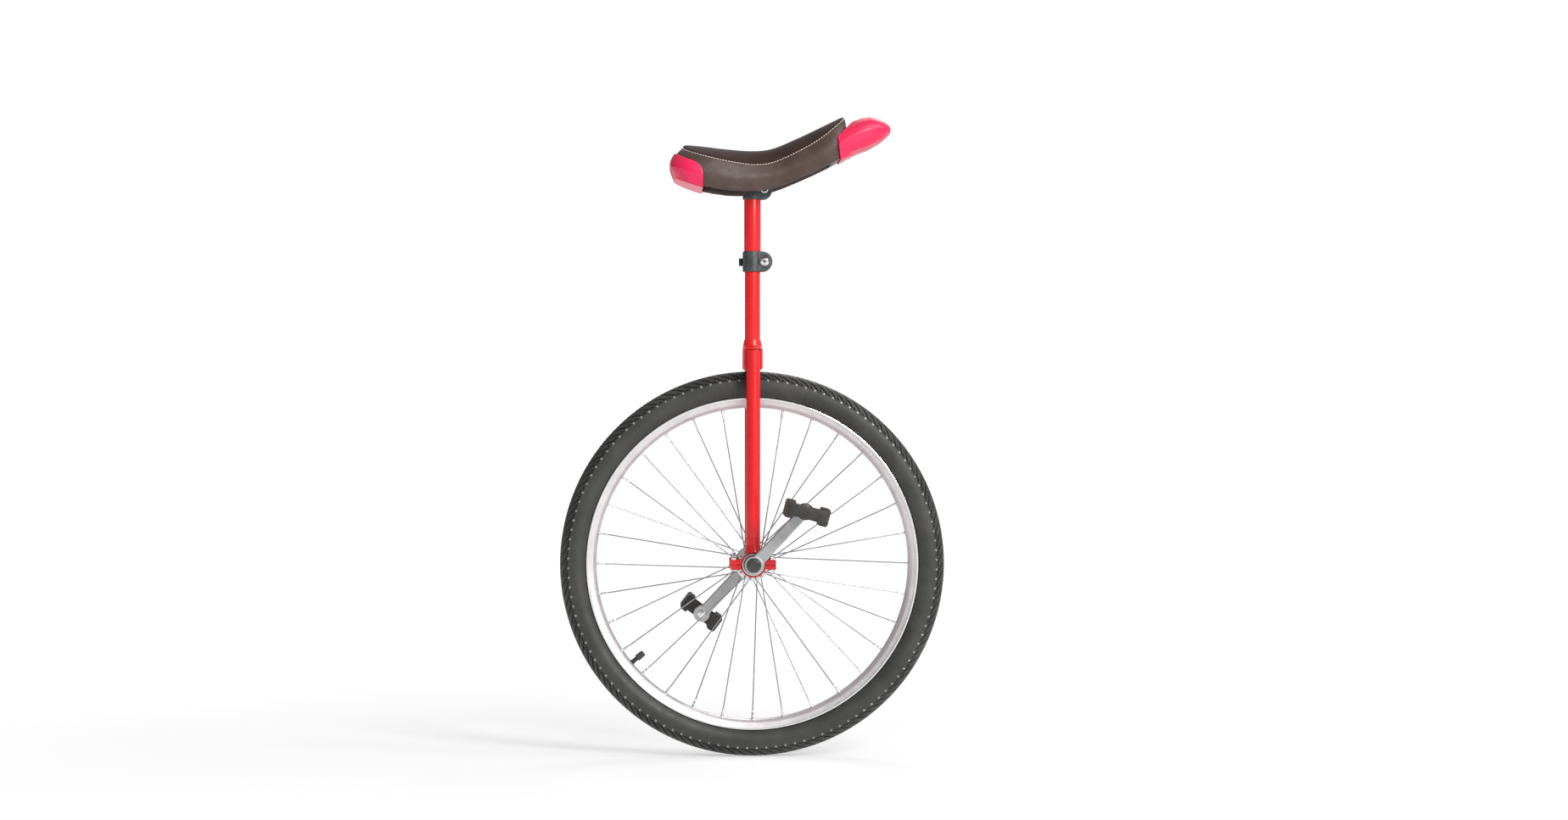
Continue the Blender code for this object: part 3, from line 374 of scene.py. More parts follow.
def combined(mesh, operation, cutters):
    obj = temporary(mesh)
    others = [temporary(cutter) for cutter in cutters]
    for other in others:
        modifier = obj.modifiers.new("cut", "BOOLEAN")
        modifier.operation = operation
        modifier.solver = "EXACT"
        modifier.object = other
    result = evaluated(obj)
    for other in others:
        bpy.data.objects.remove(other, do_unlink=True)
    return result


def carved(mesh, *cutters):
    return combined(mesh, "DIFFERENCE", cutters)


def piece(name, mesh, body, finish, nodes=(), crease=38):
    """A finished piece that rides on a body and may stand for CAD nodes."""
    slot, material = finish
    mesh.name = name
    obj = bpy.data.objects.new(name, mesh)
    bpy.context.scene.collection.objects.link(obj)
    mesh.materials.clear()
    mesh.materials.append(material)
    mesh.shade_smooth()
    mesh.set_sharp_from_angle(angle=math.radians(crease))
    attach(obj, body)
    if nodes:
        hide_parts(*nodes)
    return obj


def in_wheel(radius, angle, y=0.0):
    return Vector((HUB.x + radius * math.cos(angle), y, HUB.z + radius * math.sin(angle)))


def ease(low, high, value):
    t = min(max((value - low) / (high - low), 0.0), 1.0)
    return t * t * (3 - 2 * t)


def smooth_curve(points, x):
    """A smooth curve through a few (x, value) points."""
    last = len(points) - 1
    index = 0
    while index < last - 1 and x > points[index + 1][0]:
        index += 1
    (x0, v0), (x1, v1) = points[index], points[index + 1]
    before, after = points[max(index - 1, 0)], points[min(index + 2, last)]
    slope0 = (v1 - before[1]) / (x1 - before[0])
    slope1 = (after[1] - v0) / (after[0] - x0)
    span = x1 - x0
    t = min(max((x - x0) / span, 0.0), 1.0)
    return ((2 * t**3 - 3 * t**2 + 1) * v0 + (t**3 - 2 * t**2 + t) * span * slope0
            + (3 * t**2 - 2 * t**3) * v1 + (t**3 - t**2) * span * slope1)


def through(points, position):
    """A point on a smooth line through points; position counts points from the first."""
    index = min(int(position), len(points) - 2)
    t = position - index
    p1, p2 = points[index], points[index + 1]
    p0 = points[index - 1] if index > 0 else 2 * p1 - p2
    p3 = points[index + 2] if index + 2 < len(points) else 2 * p2 - p1
    return 0.5 * (2 * p1 + (p2 - p0) * t + (2 * p0 - 5 * p1 + 4 * p2 - p3) * t**2
                  + (3 * p1 - p0 - 3 * p2 + p3) * t**3)


# ---- material tools


def add(tree, kind, inputs=None, **settings):
    """A shader node; an input takes a value, or another node's output."""
    made = tree.nodes.new("ShaderNode" + kind)
    for key, value in settings.items():
        setattr(made, key, value)
    for key, value in (inputs or {}).items():
        if isinstance(value, bpy.types.NodeSocket):
            tree.links.new(value, made.inputs[key])
        else:
            made.inputs[key].default_value = value
    return made


def place_in(tree, stretch=(1, 1, 1)):
    """Positions in the piece's own space, stretched for a grain that has a direction."""
    own = add(tree, "TexCoord").outputs["Object"]
    return add(tree, "Mapping", {"Vector": own, "Scale": stretch}).outputs["Vector"]


def noise(tree, scale, detail=4.0, roughness=0.55, stretch=(1, 1, 1)):
    inputs = {"Vector": place_in(tree, stretch), "Scale": scale, "Detail": detail, "Roughness": roughness}
    return add(tree, "TexNoise", inputs).outputs["Fac"]


def ramp(tree, factor, *stops):
    """Colours or grey values along a factor: (position, value) stops."""
    made = add(tree, "ValToRGB", {"Fac": factor})
    elements = made.color_ramp.elements
    elements[0].position, elements[1].position = stops[0][0], stops[-1][0]
    for position, _ in stops[1:-1]:
        elements.new(position)
    for element, (_, value) in zip(elements, stops):
        colour = value if isinstance(value, tuple) else (value, value, value)
        element.color = (*colour, 1.0)
    return made.outputs["Color"]


def arithmetic(tree, operation, first, second):
    return add(tree, "Math", {0: first, 1: second}, operation=operation).outputs["Value"]


def vectors(tree, operation, *inputs):
    return add(tree, "VectorMath", dict(enumerate(inputs)), operation=operation).outputs


def mapped(tree, value, low, high, to_low=0.0, to_high=1.0):
    inputs = {"Value": value, "From Min": low, "From Max": high, "To Min": to_low, "To Max": to_high}
    return add(tree, "MapRange", inputs).outputs["Result"]


def blended(tree, factor, first, second, mode="MIX"):
    inputs = {"Fac": factor, "Color1": first, "Color2": second}
    return add(tree, "MixRGB", inputs, blend_type=mode).outputs["Color"]


def bumped(tree, height, distance, strength=1.0, under=None):
    inputs = {"Height": height, "Distance": distance, "Strength": strength}
    if under:
        inputs["Normal"] = under
    return add(tree, "Bump", inputs).outputs["Normal"]


def new_material(name, **constants):
    """A Principled material; constants are its sockets that are the same all over."""
    material = bpy.data.materials.new(name)
    material.use_nodes = True
    tree = material.node_tree
    shader = tree.nodes["Principled BSDF"]
    for key, value in constants.items():
        shader.inputs[key.replace("_", " ")].default_value = value
    return material, tree, shader


def finish_with(tree, shader, colour, roughness, normal):
    tree.links.new(colour, shader.inputs["Base Color"])
    tree.links.new(roughness, shader.inputs["Roughness"])
    tree.links.new(normal, shader.inputs["Normal"])


def wheel_radius_in(tree):
    """The distance from the wheel's axle, from the piece's own positions."""
    own = add(tree, "TexCoord").outputs["Object"]
    offset = vectors(tree, "SUBTRACT", own, HUB)["Vector"]
    flat = vectors(tree, "MULTIPLY", offset, (1, 0, 1))["Vector"]
    return vectors(tree, "LENGTH", flat)["Value"]


# ---- materials


def patchy(name, patches, stops, gloss, grain, along=((1, 1, 1), (1, 1, 1)), **constants):
    """Two near colours in patches, two near roughnesses in others, and a fine grain."""
    material, tree, shader = new_material(name, **constants)
    colour = ramp(tree, noise(tree, *patches), *stops)
    gloss_scale, smooth, rough = gloss
    roughness = ramp(tree, noise(tree, gloss_scale, stretch=along[0]), (0.3, smooth), (0.7, rough))
    scale, detail, depth = grain
    finish_with(tree, shader, colour, roughness,
                bumped(tree, noise(tree, scale, detail, stretch=along[1]), depth))
    return material


def tyre_rubber():
    """Black rubber that has gone slightly grey, with dust in patches, and painted shade on the floor between
    the tread ribs.
    """
    material, tree, shader = new_material("tyre_rubber")
    worn = ramp(tree, noise(tree, 22, 7, 0.6), (0.35, (0.022, 0.022, 0.021)), (0.7, (0.046, 0.046, 0.043)))
    specks = ramp(tree, noise(tree, 900, 2), (0.55, 0.0), (0.75, 0.35))
    dusty = blended(tree, specks, worn, (0.075, 0.072, 0.066, 1.0))
    # Painted shade: where the groove attribute marks the floor between the ribs, the colour goes near black.
    groove = add(tree, "Attribute", attribute_name="groove").outputs["Fac"]
    colour = blended(tree, groove, dusty, (0.006, 0.006, 0.006, 1.0))
    roughness = ramp(tree, noise(tree, 60), (0.3, 0.42), (0.7, 0.58))
    skin = bumped(tree, noise(tree, 1400, 4), 0.0001)
    finish_with(tree, shader, colour, roughness, skin)
    return material


def rim_metal():
    """Satin alloy with fine turned lines, and a polished lip."""
    material, tree, shader = new_material("rim_metal", Metallic=0.92)
    radius = wheel_radius_in(tree)
    lip = mapped(tree, radius, RIM_LIP_RADIUS - 0.0003, RIM_LIP_RADIUS + 0.0003)
    satin = ramp(tree, noise(tree, 35, 6), (0.3, (0.66, 0.62, 0.635)), (0.7, (0.76, 0.72, 0.735)))
    colour = blended(tree, lip, satin, (0.93, 0.93, 0.93, 1.0))
    dull = ramp(tree, noise(tree, 180), (0.3, 0.36), (0.7, 0.48))
    roughness = blended(tree, lip, dull, (0.13, 0.13, 0.13, 1.0))
    lines = arithmetic(tree, "SINE", arithmetic(tree, "MULTIPLY", radius, 9000.0), 0.0)
    turned = bumped(tree, lines, 0.00003, 0.5)
    grain = bumped(tree, noise(tree, 1500, 3), 0.00005, 1.0, turned)
    finish_with(tree, shader, colour, roughness, grain)
    return material


def turned_metal(name, light, dark, smooth, rough):
    """Metal with fine rings round the Y axis, as a lathe leaves it."""
    return patchy(name, (90, 5), ((0.3, dark), (0.7, light)), (200, smooth, rough), (400, 2, 0.00004),
                  ((0.3, 4.0, 0.3), (0.02, 6.0, 0.02)), Metallic=1.0)


def moulded_plastic(name, light, dark, smooth, rough, grain=0.0001):
    """Plastic with the fine grain of its mould."""
    return patchy(name, (60, 6), ((0.32, dark), (0.7, light)), (160, smooth, rough), (2300, 3, grain))


def saddle_leather():
    """Brown leather: a pebbled skirt, and a darker top with rows of small holes. The grain's creases and the
    holes carry painted shade.
    """
    material, tree, shader = new_material("saddle_leather", Specular_IOR_Level=0.32, Sheen_Weight=0.05,
                                          Sheen_Roughness=0.5)
    top = add(tree, "Attribute", attribute_name="top_panel").outputs["Fac"]
    cells = add(tree, "TexVoronoi", {"Vector": place_in(tree), "Scale": 620.0, "Randomness": 0.9},
                feature="F1").outputs["Distance"]
    wrinkles = noise(tree, 130, 7, 0.6)
    skirt = ramp(tree, noise(tree, 28, 6), (0.32, (0.066, 0.04, 0.032)), (0.7, (0.104, 0.066, 0.054)))
    panel = ramp(tree, noise(tree, 34, 6), (0.32, (0.028, 0.011, 0.008)), (0.7, (0.05, 0.019, 0.014)))
    spacing = add(tree, "TexVoronoi", {"Vector": place_in(tree), "Scale": 300.0, "Randomness": 0.0},
                  feature="F1", voronoi_dimensions="2D").outputs["Distance"]
    hole = arithmetic(tree, "MULTIPLY", arithmetic(tree, "LESS_THAN", spacing, 0.17), top)
    # Painted shade: the edges of the grain's cells, its creases, are darkened in colour down to 0.72.
    crease_shade = ramp(tree, cells, (0.0, 1.0), (0.62, 0.72))
    shaded = blended(tree, 1.0, blended(tree, top, skirt, panel), crease_shade, "MULTIPLY")
    # Painted shade: the holes are near-black dots in the colour, standing for the shade inside each
    # perforation.
    colour = blended(tree, hole, shaded, (0.012, 0.007, 0.006, 1.0))
    polish = ramp(tree, wrinkles, (0.3, 0.38), (0.7, 0.54))
    roughness = blended(tree, top, polish, (0.82, 0.82, 0.82, 1.0))
    wrinkled = bumped(tree, wrinkles, 0.0003, 1.0, bumped(tree, cells, -0.00014))
    finish_with(tree, shader, colour, roughness, bumped(tree, hole, -0.0004, 1.0, wrinkled))
    return material


# Each finish is a slot name, which nothing here reads, and its material. PAINT is gloss paint with a faint
# orange peel under a clear coat, CAST a dark painted casting with a sandy grain and SATIN bead-blasted grey
# alloy.
PAINT = ("frame_paint", patchy(
    "red_paint", (260, 5), ((0.35, (0.68, 0.006, 0.009)), (0.65, (0.73, 0.008, 0.011))),
    (45, 0.28, 0.36), (700, 2, 0.000015), Specular_IOR_Level=0.35, Coat_Weight=0.4, Coat_Roughness=0.14))
CAST = ("clamp_metal", patchy(
    "cast_metal", (120, 6), ((0.35, (0.05, 0.052, 0.055)), (0.68, (0.09, 0.093, 0.098))),
    (300, 0.36, 0.5), (1800, 3, 0.00012), Metallic=0.45))
SATIN = ("crank_alloy", patchy(
    "satin_metal", (70, 6), ((0.3, (0.46, 0.462, 0.47)), (0.7, (0.56, 0.562, 0.57))),
    (240, 0.34, 0.46), (2200, 3, 0.00008), Metallic=0.82))
RUBBER = ("tyre", tyre_rubber())
# The studs are the tyre's black rubber, coloured mid grey as a painted highlight where they catch the light.
STUD_HIGHLIGHT_RUBBER = ("tyre", moulded_plastic("stud_rubber_painted_highlight", (0.3, 0.3, 0.29), (0.16, 0.16, 0.155), 0.22, 0.34))
INNER_RUBBER = ("black_rubber", patchy(
    "inner_rubber", (150, 5), ((0.3, (0.012, 0.012, 0.012)), (0.7, (0.03, 0.03, 0.029))),
    (90, 0.45, 0.65), (1600, 3, 0.0001)))
RIM = ("rim_alloy", rim_metal())
HUB_METAL = ("hub_alloy", turned_metal("hub_metal", (0.74, 0.74, 0.75), (0.62, 0.62, 0.63), 0.2, 0.34))
EYELET = ("rim_alloy", HUB_METAL[1])
BRIGHT = ("bright_steel", turned_metal("bright_metal", (0.86, 0.86, 0.87), (0.76, 0.76, 0.77), 0.1, 0.2))
WIRE = ("bright_steel", turned_metal("wire", (0.44, 0.44, 0.45), (0.33, 0.33, 0.34), 0.26, 0.4))
BEARING_METAL = ("bearing_steel", turned_metal(
    "bearing_metal", (0.66, 0.67, 0.69), (0.52, 0.53, 0.55), 0.16, 0.3))
CAP_PLASTIC = ("cap_plastic", moulded_plastic(
    "cap_plastic", (0.06, 0.058, 0.056), (0.036, 0.035, 0.034), 0.24, 0.36))
PEDAL_PLASTIC = ("pedal_plastic", moulded_plastic(
    "pedal_plastic", (0.036, 0.032, 0.028), (0.016, 0.015, 0.014), 0.36, 0.52))
BASE_PLASTIC = (None, moulded_plastic("base_plastic", (0.04, 0.04, 0.04), (0.022, 0.022, 0.022), 0.45, 0.62))
PINK = ("bumper_plastic", moulded_plastic(
    "pink_plastic", (0.75, 0.0105, 0.084), (0.69, 0.008, 0.069), 0.3, 0.42, 0.00006))
LEATHER = ("saddle_cover", saddle_leather())
THREAD = (None, patchy(
    "thread", (600, 4), ((0.3, (0.58, 0.46, 0.41)), (0.7, (0.78, 0.66, 0.6))),
    (900, 0.55, 0.75), (4200, 2, 0.00012), Sheen_Weight=0.3, Sheen_Roughness=0.4))


# ---- wheel


def tyre_section(theta, lift):
    """(radius, y) on the tyre's outside; theta is 0 at the crown and a right angle where it is widest."""
    cosine, sine = math.cos(theta), math.sin(theta)
    radius = CASING_CENTRE + (WHEEL_RADIUS - CASING_CENTRE + lift) * abs(cosine) ** SQUARENESS
    width = (TYRE_HALF_WIDTH + lift) * abs(sine) ** SQUARENESS
    return radius, math.copysign(width, sine)


def on_tyre(theta, lift, angle):
    radius, y = tyre_section(theta, lift)
    return in_wheel(radius, angle, y)


def make_tyre():
    """The casing: grooves' floor under the tread, moulded lines on the wall, beads in the rim."""
    outside = []
    for step in range(25):
        theta = math.radians(90) * step / 24
        floor = -TREAD_DEPTH * (1 - ease(math.radians(58), math.radians(67), theta))
        line = 0.0005 * math.exp(-((math.degrees(theta) - 72) / 1.6) ** 2)
        outside.append(tyre_section(theta, floor + line - 0.0001))
    bead_radius, bead_y = BEAD_TOP
    for step in range(1, 19):
        phi = math.radians(90) * step / 18
        y = bead_y + (TYRE_HALF_WIDTH - bead_y) * max(math.cos(phi), 0.0) ** 0.85
        line = 0.0007 * math.exp(-((math.degrees(phi) - 58) / 3.0) ** 2)
        outside.append((CASING_CENTRE - (CASING_CENTRE - bead_radius) * math.sin(phi), y + line))
    inside = [(0.2545, 0.0115), (0.2545, 0.0088), (0.2615, 0.0086), (0.2735, 0.0208),
              (0.2855, 0.0208), (0.2965, 0.008)]
    half = outside + inside
    profile = half + [(radius, -y) for radius, y in reversed(half) if y > 1e-6]
    casing = lathe(profile, HUB, Y_AXIS, 240, closed=True)
    # The groove attribute marks the floor between the tread ribs, where the rubber material paints shade.
    groove = casing.attributes.new("groove", "FLOAT", "POINT")
    shoulder, _ = tyre_section(math.radians(66), 0.0)
    low, high = shoulder - 0.001, shoulder + 0.001
    depths = [ease(low, high, (vert.co - HUB).xz.length) for vert in casing.vertices]
    groove.data.foreach_set("value", depths)
    piece("tyre_casing", casing, "wheel", RUBBER, ["tyre"], 30)


def make_tread():
    """Ribs from the crown to both shoulders; every second one is longer and ends in a stud."""
    ribs, studs = bmesh.new(), bmesh.new()
    for side in (-1, 1):
        for pitch in range(TREAD_PITCHES):
            longer = pitch % 2 == 0
            angle = math.tau * pitch / TREAD_PITCHES
            add_rib(ribs, side, angle, math.radians(64 if longer else 58))
            if longer:
                add_stud(studs, side * math.radians(69), angle - TREAD_SLANT * 1.04)
    piece("tyre_tread", mesh_of(ribs), "wheel", RUBBER, crease=30)
    piece("tyre_studs", mesh_of(studs), "wheel", STUD_HIGHLIGHT_RUBBER, crease=30)


def add_rib(bm, side, start, last, stations=8):
    """A slanted rib as far as theta = last, where it sinks into the casing."""
    first = math.radians(1.0)
    path, feet = [], []
    for step in range(stations):
        share = step / (stations - 1)
        theta = first + share * (last - first)
        slant = 0.72 * (1 - math.cos(theta)) / (1 - math.cos(last)) + 0.28 * share
        angle = start - TREAD_SLANT * slant
        sink = TREAD_DEPTH * 0.8 * ease(0.86, 1.0, share)
        path.append(on_tyre(side * theta, -sink - 0.0001, angle))
        feet.append(on_tyre(side * theta, -TREAD_DEPTH - 0.0005, angle))
    rings = []
    for step, (top, foot) in enumerate(zip(path, feet)):
        run = path[min(step + 1, stations - 1)] - path[max(step - 1, 0)]
        across = run.cross(top - foot).normalized()
        half = 0.0026 - 0.0012 * ease(0.1, 0.9, step / (stations - 1))
        wide = half + 0.0004
        places = [foot - across * wide, top - across * half, top + across * half, foot + across * wide]
        rings.append([bm.verts.new(place) for place in places])
    skin(bm, rings)


def add_stud(bm, theta, angle):
    """A small tapered block that stands out of the shoulder."""
    bottom, top = on_tyre(theta, -0.0008, angle), on_tyre(theta, 0.0007, angle)
    up = (top - bottom).normalized()
    along = up.orthogonal().normalized()
    across = up.cross(along)
    corners = ((1, 1), (-1, 1), (-1, -1), (1, -1))
    skin(bm, [[bm.verts.new(centre + size * (a * along + b * across)) for a, b in corners]
              for centre, size in ((bottom, 0.0022), (top, 0.0015))])


def make_rim():
    outer = [(0.2534, 0.0121), (RIM_RADIUS, 0.0124), (RIM_RADIUS - 0.0003, RIM_HALF_WIDTH, 0.0009),
             (0.2578, RIM_HALF_WIDTH, 0.0008), (0.2562, 0.0141, 0.0006), (0.25, 0.0127, 0.0015),
             (RIM_INNER_RADIUS, 0.0078, 0.0035)]
    inner = [(0.2526, 0.0088), (0.2474, 0.0065)]
    lower = [(radius, -y, *rest) for radius, y, *rest in reversed(outer)]
    floor = [(radius, -y) for radius, y in inner] + [(radius, y) for radius, y in reversed(inner)]
    rim = lathe(rounded(outer + lower + floor, 0.0004), HUB, Y_AXIS, 288, closed=True)
    valve_hole = rod(0.0042, in_wheel(0.235, VALVE_ANGLE), in_wheel(0.265, VALVE_ANGLE), 24)
    piece("rim_hoop", carved(rim, valve_hole), "wheel", RIM, ["rim"], 30)
    eyelets = []
    for spoke in range(32):
        place = in_wheel(RIM_INNER_RADIUS, -spoke * SPOKE_PITCH)
        eyelets.append(ring(0.0021, 0.0037, -0.001, 0.0004, place, HUB - place, 0.0005, 16))
    piece("rim_eyelets", merged(*eyelets), "wheel", EYELET)


def make_valve():
    direction = (in_wheel(1.0, VALVE_ANGLE) - HUB).normalized()
    stem = [(0, 0.225), (0.0026, 0.225), (0.003, 0.2262), (0.0034, 0.237), (0.0034, 0.2405),
            (0.0039, 0.242), (0.0039, 0.26), (0, 0.26)]
    piece("valve_tube", spun(stem, 0.0004, HUB, direction, 32), "wheel", INNER_RUBBER, ["valve_stem"])
    cap = [(0, 0.2205), (0.0048, 0.2205, 0.0024), (0.0053, 0.233), (0.005, 0.2345), (0.0037, 0.2345)]
    shell = spun(cap, 0.0004, HUB, direction, 72, 8)
    for vert in shell.vertices:
        height = (vert.co - HUB).dot(direction)
        outward = vert.co - HUB - height * direction
        around = math.atan2(outward.y, outward.dot(direction.cross(Y_AXIS)))
        groove = 0.0003 * ease(0.2225, 0.2245, height) * (0.5 + 0.5 * math.cos(18 * around))
        if outward.length > 0.004:
            vert.co -= outward.normalized() * groove
    piece("valve_dust_cap", shell, "wheel", CAP_PLASTIC, ["valve_cap"])


def make_hub():
    outer, inner = FLANGE_Y + FLANGE_THICKNESS / 2, FLANGE_Y - FLANGE_THICKNESS / 2
    half = [(0.0089, 0.0385), (0.0128, 0.0385, 0.0008), (0.0145, outer + 0.0004, 0.0016),
            (FLANGE_RADIUS, outer, 0.001), (FLANGE_RADIUS, inner, 0.001), (0.0186, inner, 0.003),
            (0.0165, 0.0225, 0.005), (0.015, 0.012, 0.006)]
    profile = rounded(half + [(radius, -y, *rest) for radius, y, *rest in reversed(half)], 0.0004, steps=5)
    holes = []
    for side in (-1, 1):
        for hole in range(16):
            angle = -(2 * hole + (side < 0)) * SPOKE_PITCH
            ends = [in_wheel(SPOKE_CIRCLE, angle, side * (FLANGE_Y + step)) for step in (-0.003, 0.003)]
            holes.append(rod(0.0014, *ends, 12))
    hub = carved(lathe(profile, HUB, Y_AXIS, 96, closed=True), merged(*holes))
    piece("hub_body", hub, "wheel", HUB_METAL, ["hub_shell"], 30)


def make_spokes():
    """32 headed spokes, each crossing one neighbour, with their nipples."""
    for side, label in SIDES:
        for pair in range(8):
            first = -(4 * pair + (1 if side < 0 else 2)) * SPOKE_PITCH
            second = first - 2 * SPOKE_PITCH
            half_way = (first + second) / 2
            start, end = in_wheel(SPOKE_CIRCLE, second), in_wheel(RIM_INNER_RADIUS, first)
            normal = Vector((-math.sin(half_way), 0, math.cos(half_way)))
            crossing = start.lerp(end, normal.dot(HUB - start) / normal.dot(end - start))
            crossing.y = side * (FLANGE_Y - 0.0002)
            number = f"{label}_{pair + 1}"
            make_spoke(first, second, side, side, crossing, f"leading_{number}", f"spoke_pair_{number}")
            make_spoke(second, first, side, -side, crossing, f"trailing_{number}", f"spoke_pair_{number}")


def make_spoke(rim_angle, hub_angle, side, away, crossing, name, node):
    """One spoke; away is the side of its flange where it leaves."""
    hole = in_wheel(SPOKE_CIRCLE, hub_angle, FLANGE_Y * side)
    out = Vector((0, away, 0))
    passing = crossing + out * 0.00105
    rim_end = in_wheel(RIM_INNER_RADIUS + 0.0006, rim_angle)
    back = (passing - rim_end).normalized()
    run = (passing - hole).normalized()
    elbow = hole + out * 0.0026
    r = SPOKE_RADIUS
    head = [(hole - out * 0.0031, 1.15 * r), (hole - out * 0.0029, 1.85 * r),
            (hole - out * 0.0022, 1.85 * r)]
    neck = [hole - out * 0.0017, hole + out * 0.0016, elbow + run * 0.0004,
            elbow + run * 0.0018 + out * 0.0003]
    shank = [passing.lerp(elbow, 0.5) + out * 0.0002, passing, rim_end + back * (NIPPLE_LENGTH - 0.001)]
    stations = head + [(point, r) for point in neck + shank]
    piece(f"spoke_{name}", bar(stations, 10), "wheel", WIRE, [node], 50)
    nipple = [(0, 0), (0.0021, 0), (0.0021, 0.005), (0.0018, 0.0058), (0.0018, 0.0112),
              (0.0014, NIPPLE_LENGTH), (0, NIPPLE_LENGTH)]
    piece(f"nipple_{name}", spun(nipple, 0.0004, rim_end, back, 16), "wheel", BRIGHT, crease=50)


# ---- bearings and legs


def make_bearing(side, label):
    centre = Vector((0, side * BEARING_Y, HUB.z))
    half = BEARING_HALF_WIDTH
    recess = half - 0.0005
    outer = ring(0.0146, BEARING_RADIUS, -half, half, centre, Y_AXIS, 0.0005, 72)
    piece(f"bearing_race_outer_{label}", outer, "frame", BEARING_METAL, [f"bearing_outer_{label}"])
    seal = ring(0.0118, 0.0145, -recess, recess, centre, Y_AXIS, 0.0004, 72)
    piece(f"bearing_seal_{label}", seal, "frame", INNER_RUBBER)
    inner = ring(0.0088, 0.0115, -half, half, centre, Y_AXIS, 0.0005, 72)
    piece(f"bearing_race_inner_{label}", inner, "wheel", BEARING_METAL, [f"bearing_inner_{label}"])


def holder(side, up):
    """Half a bearing holder, a lug at each end; up is +1 for the upper half and -1 for the lower."""
    half_gap, bore = GAP / 2, BEARING_RADIUS + GAP
    rise = math.asin(LUG_THICKNESS / HOLDER_RADIUS)
    lug = [(bore, half_gap), (LUG_REACH, half_gap), (LUG_REACH, LUG_THICKNESS)]
    outline = [Vector(lug[0])] + rounded(lug[1:], 0.0012, closed=False)
    outline += arc(HOLDER_RADIUS, rise, math.pi - rise, 24)
    outline += [Vector((-x, z)) for x, z in reversed(lug)]
    outline += arc(bore, math.pi, 0.0, 24)[1:-1]
    place = facing_side(0, side * BEARING_Y + HOLDER_HALF_WIDTH, HUB.z)
    return slab([(x, up * z) for x, z in outline], place, 2 * HOLDER_HALF_WIDTH, 0.0008)


def bored(casting, side):
    start, end = (Vector((0, side * BEARING_Y + step, HUB.z)) for step in (-0.02, 0.02))
    return carved(casting, rod(BEARING_RADIUS + GAP, start, end, 96))


def make_leg(side, label):
    """The tube, and the upper half of the bearing holder that is forged onto its foot."""
    y = side * BEARING_Y
    low, seam, flare_top = HUB.z + 0.0188, HUB.z + 0.044, HUB.z + 0.0298
    r = LEG_RADIUS
    stub = rod(r + 0.0002, (0, y, low), (0, y, seam), 64, 0.001)
    flare = lathe([(0, low), (0.0128, low), (0.012, low + 0.004), (r + 0.0002, flare_top), (0, flare_top)],
                  (0, y, 0), Z_AXIS, 64)
    foot = melted([holder(side, 1), stub, flare], 0.00055, 5, 0.4)
    piece(f"leg_foot_{label}", bored(foot, side), "frame", PAINT, [f"leg_{label}"])
    tube = [(0, seam - 0.004), (r - 0.0004, seam - 0.004), (r - 0.0001, seam), (r, seam + 0.001),
            (r, LEG_TOP, 0.0016), (0, LEG_TOP)]
    piece(f"leg_tube_{label}", spun(tube, 0.0004, (0, y, 0), Z_AXIS, 80, 6), "frame", PAINT)


def make_bearing_cap(side, label):
    cap = melted([holder(side, -1)], 0.00055, 5, 0.4)
    piece(f"bearing_strap_{label}", bored(cap, side), "frame", PAINT, [f"bearing_cap_{label}"])


def make_cap_bolts(side, label):
    y = side * BEARING_Y
    under, over = HUB.z - LUG_THICKNESS - GAP, HUB.z + LUG_THICKNESS + GAP
    for end, place in ((-1, "rear"), (1, "front")):
        x = end * CAP_BOLT_X
        name = f"{label}_{place}"
        head = slab(gear(30, 0.005, 0.00475), flat_at(x, y, under - 0.0115), 0.0099, 0.0006)
        socket = slab(polygon(6, 0.0029), flat_at(x, y, under - 0.012), 0.005, 0.0001)
        shank = rod(0.0028, (x, y, under - 0.002), (x, y, over + 0.0065), 24, 0.0005)
        screw = merged(carved(head, socket), shank)
        piece(f"cap_screw_{name}", screw, "frame", BRIGHT, [f"cap_bolt_{name}"])
        washer = ring(0.003, 0.0068, under - 0.0016, under, (x, y, 0), Z_AXIS, 0.0003, 40)
        piece(f"cap_washer_{name}", washer, "frame", BRIGHT)
        nut = slab(rounded(polygon(6, 0.0056, end * 0.3), 0.0004), flat_at(x, y, over), 0.0046, 0.0005)
        piece(f"cap_nut_{name}", nut, "frame", BRIGHT)


# ---- cranks and pedals


def crank_turn(side):
    return CRANK_ANGLE if side < 0 else CRANK_ANGLE + math.pi


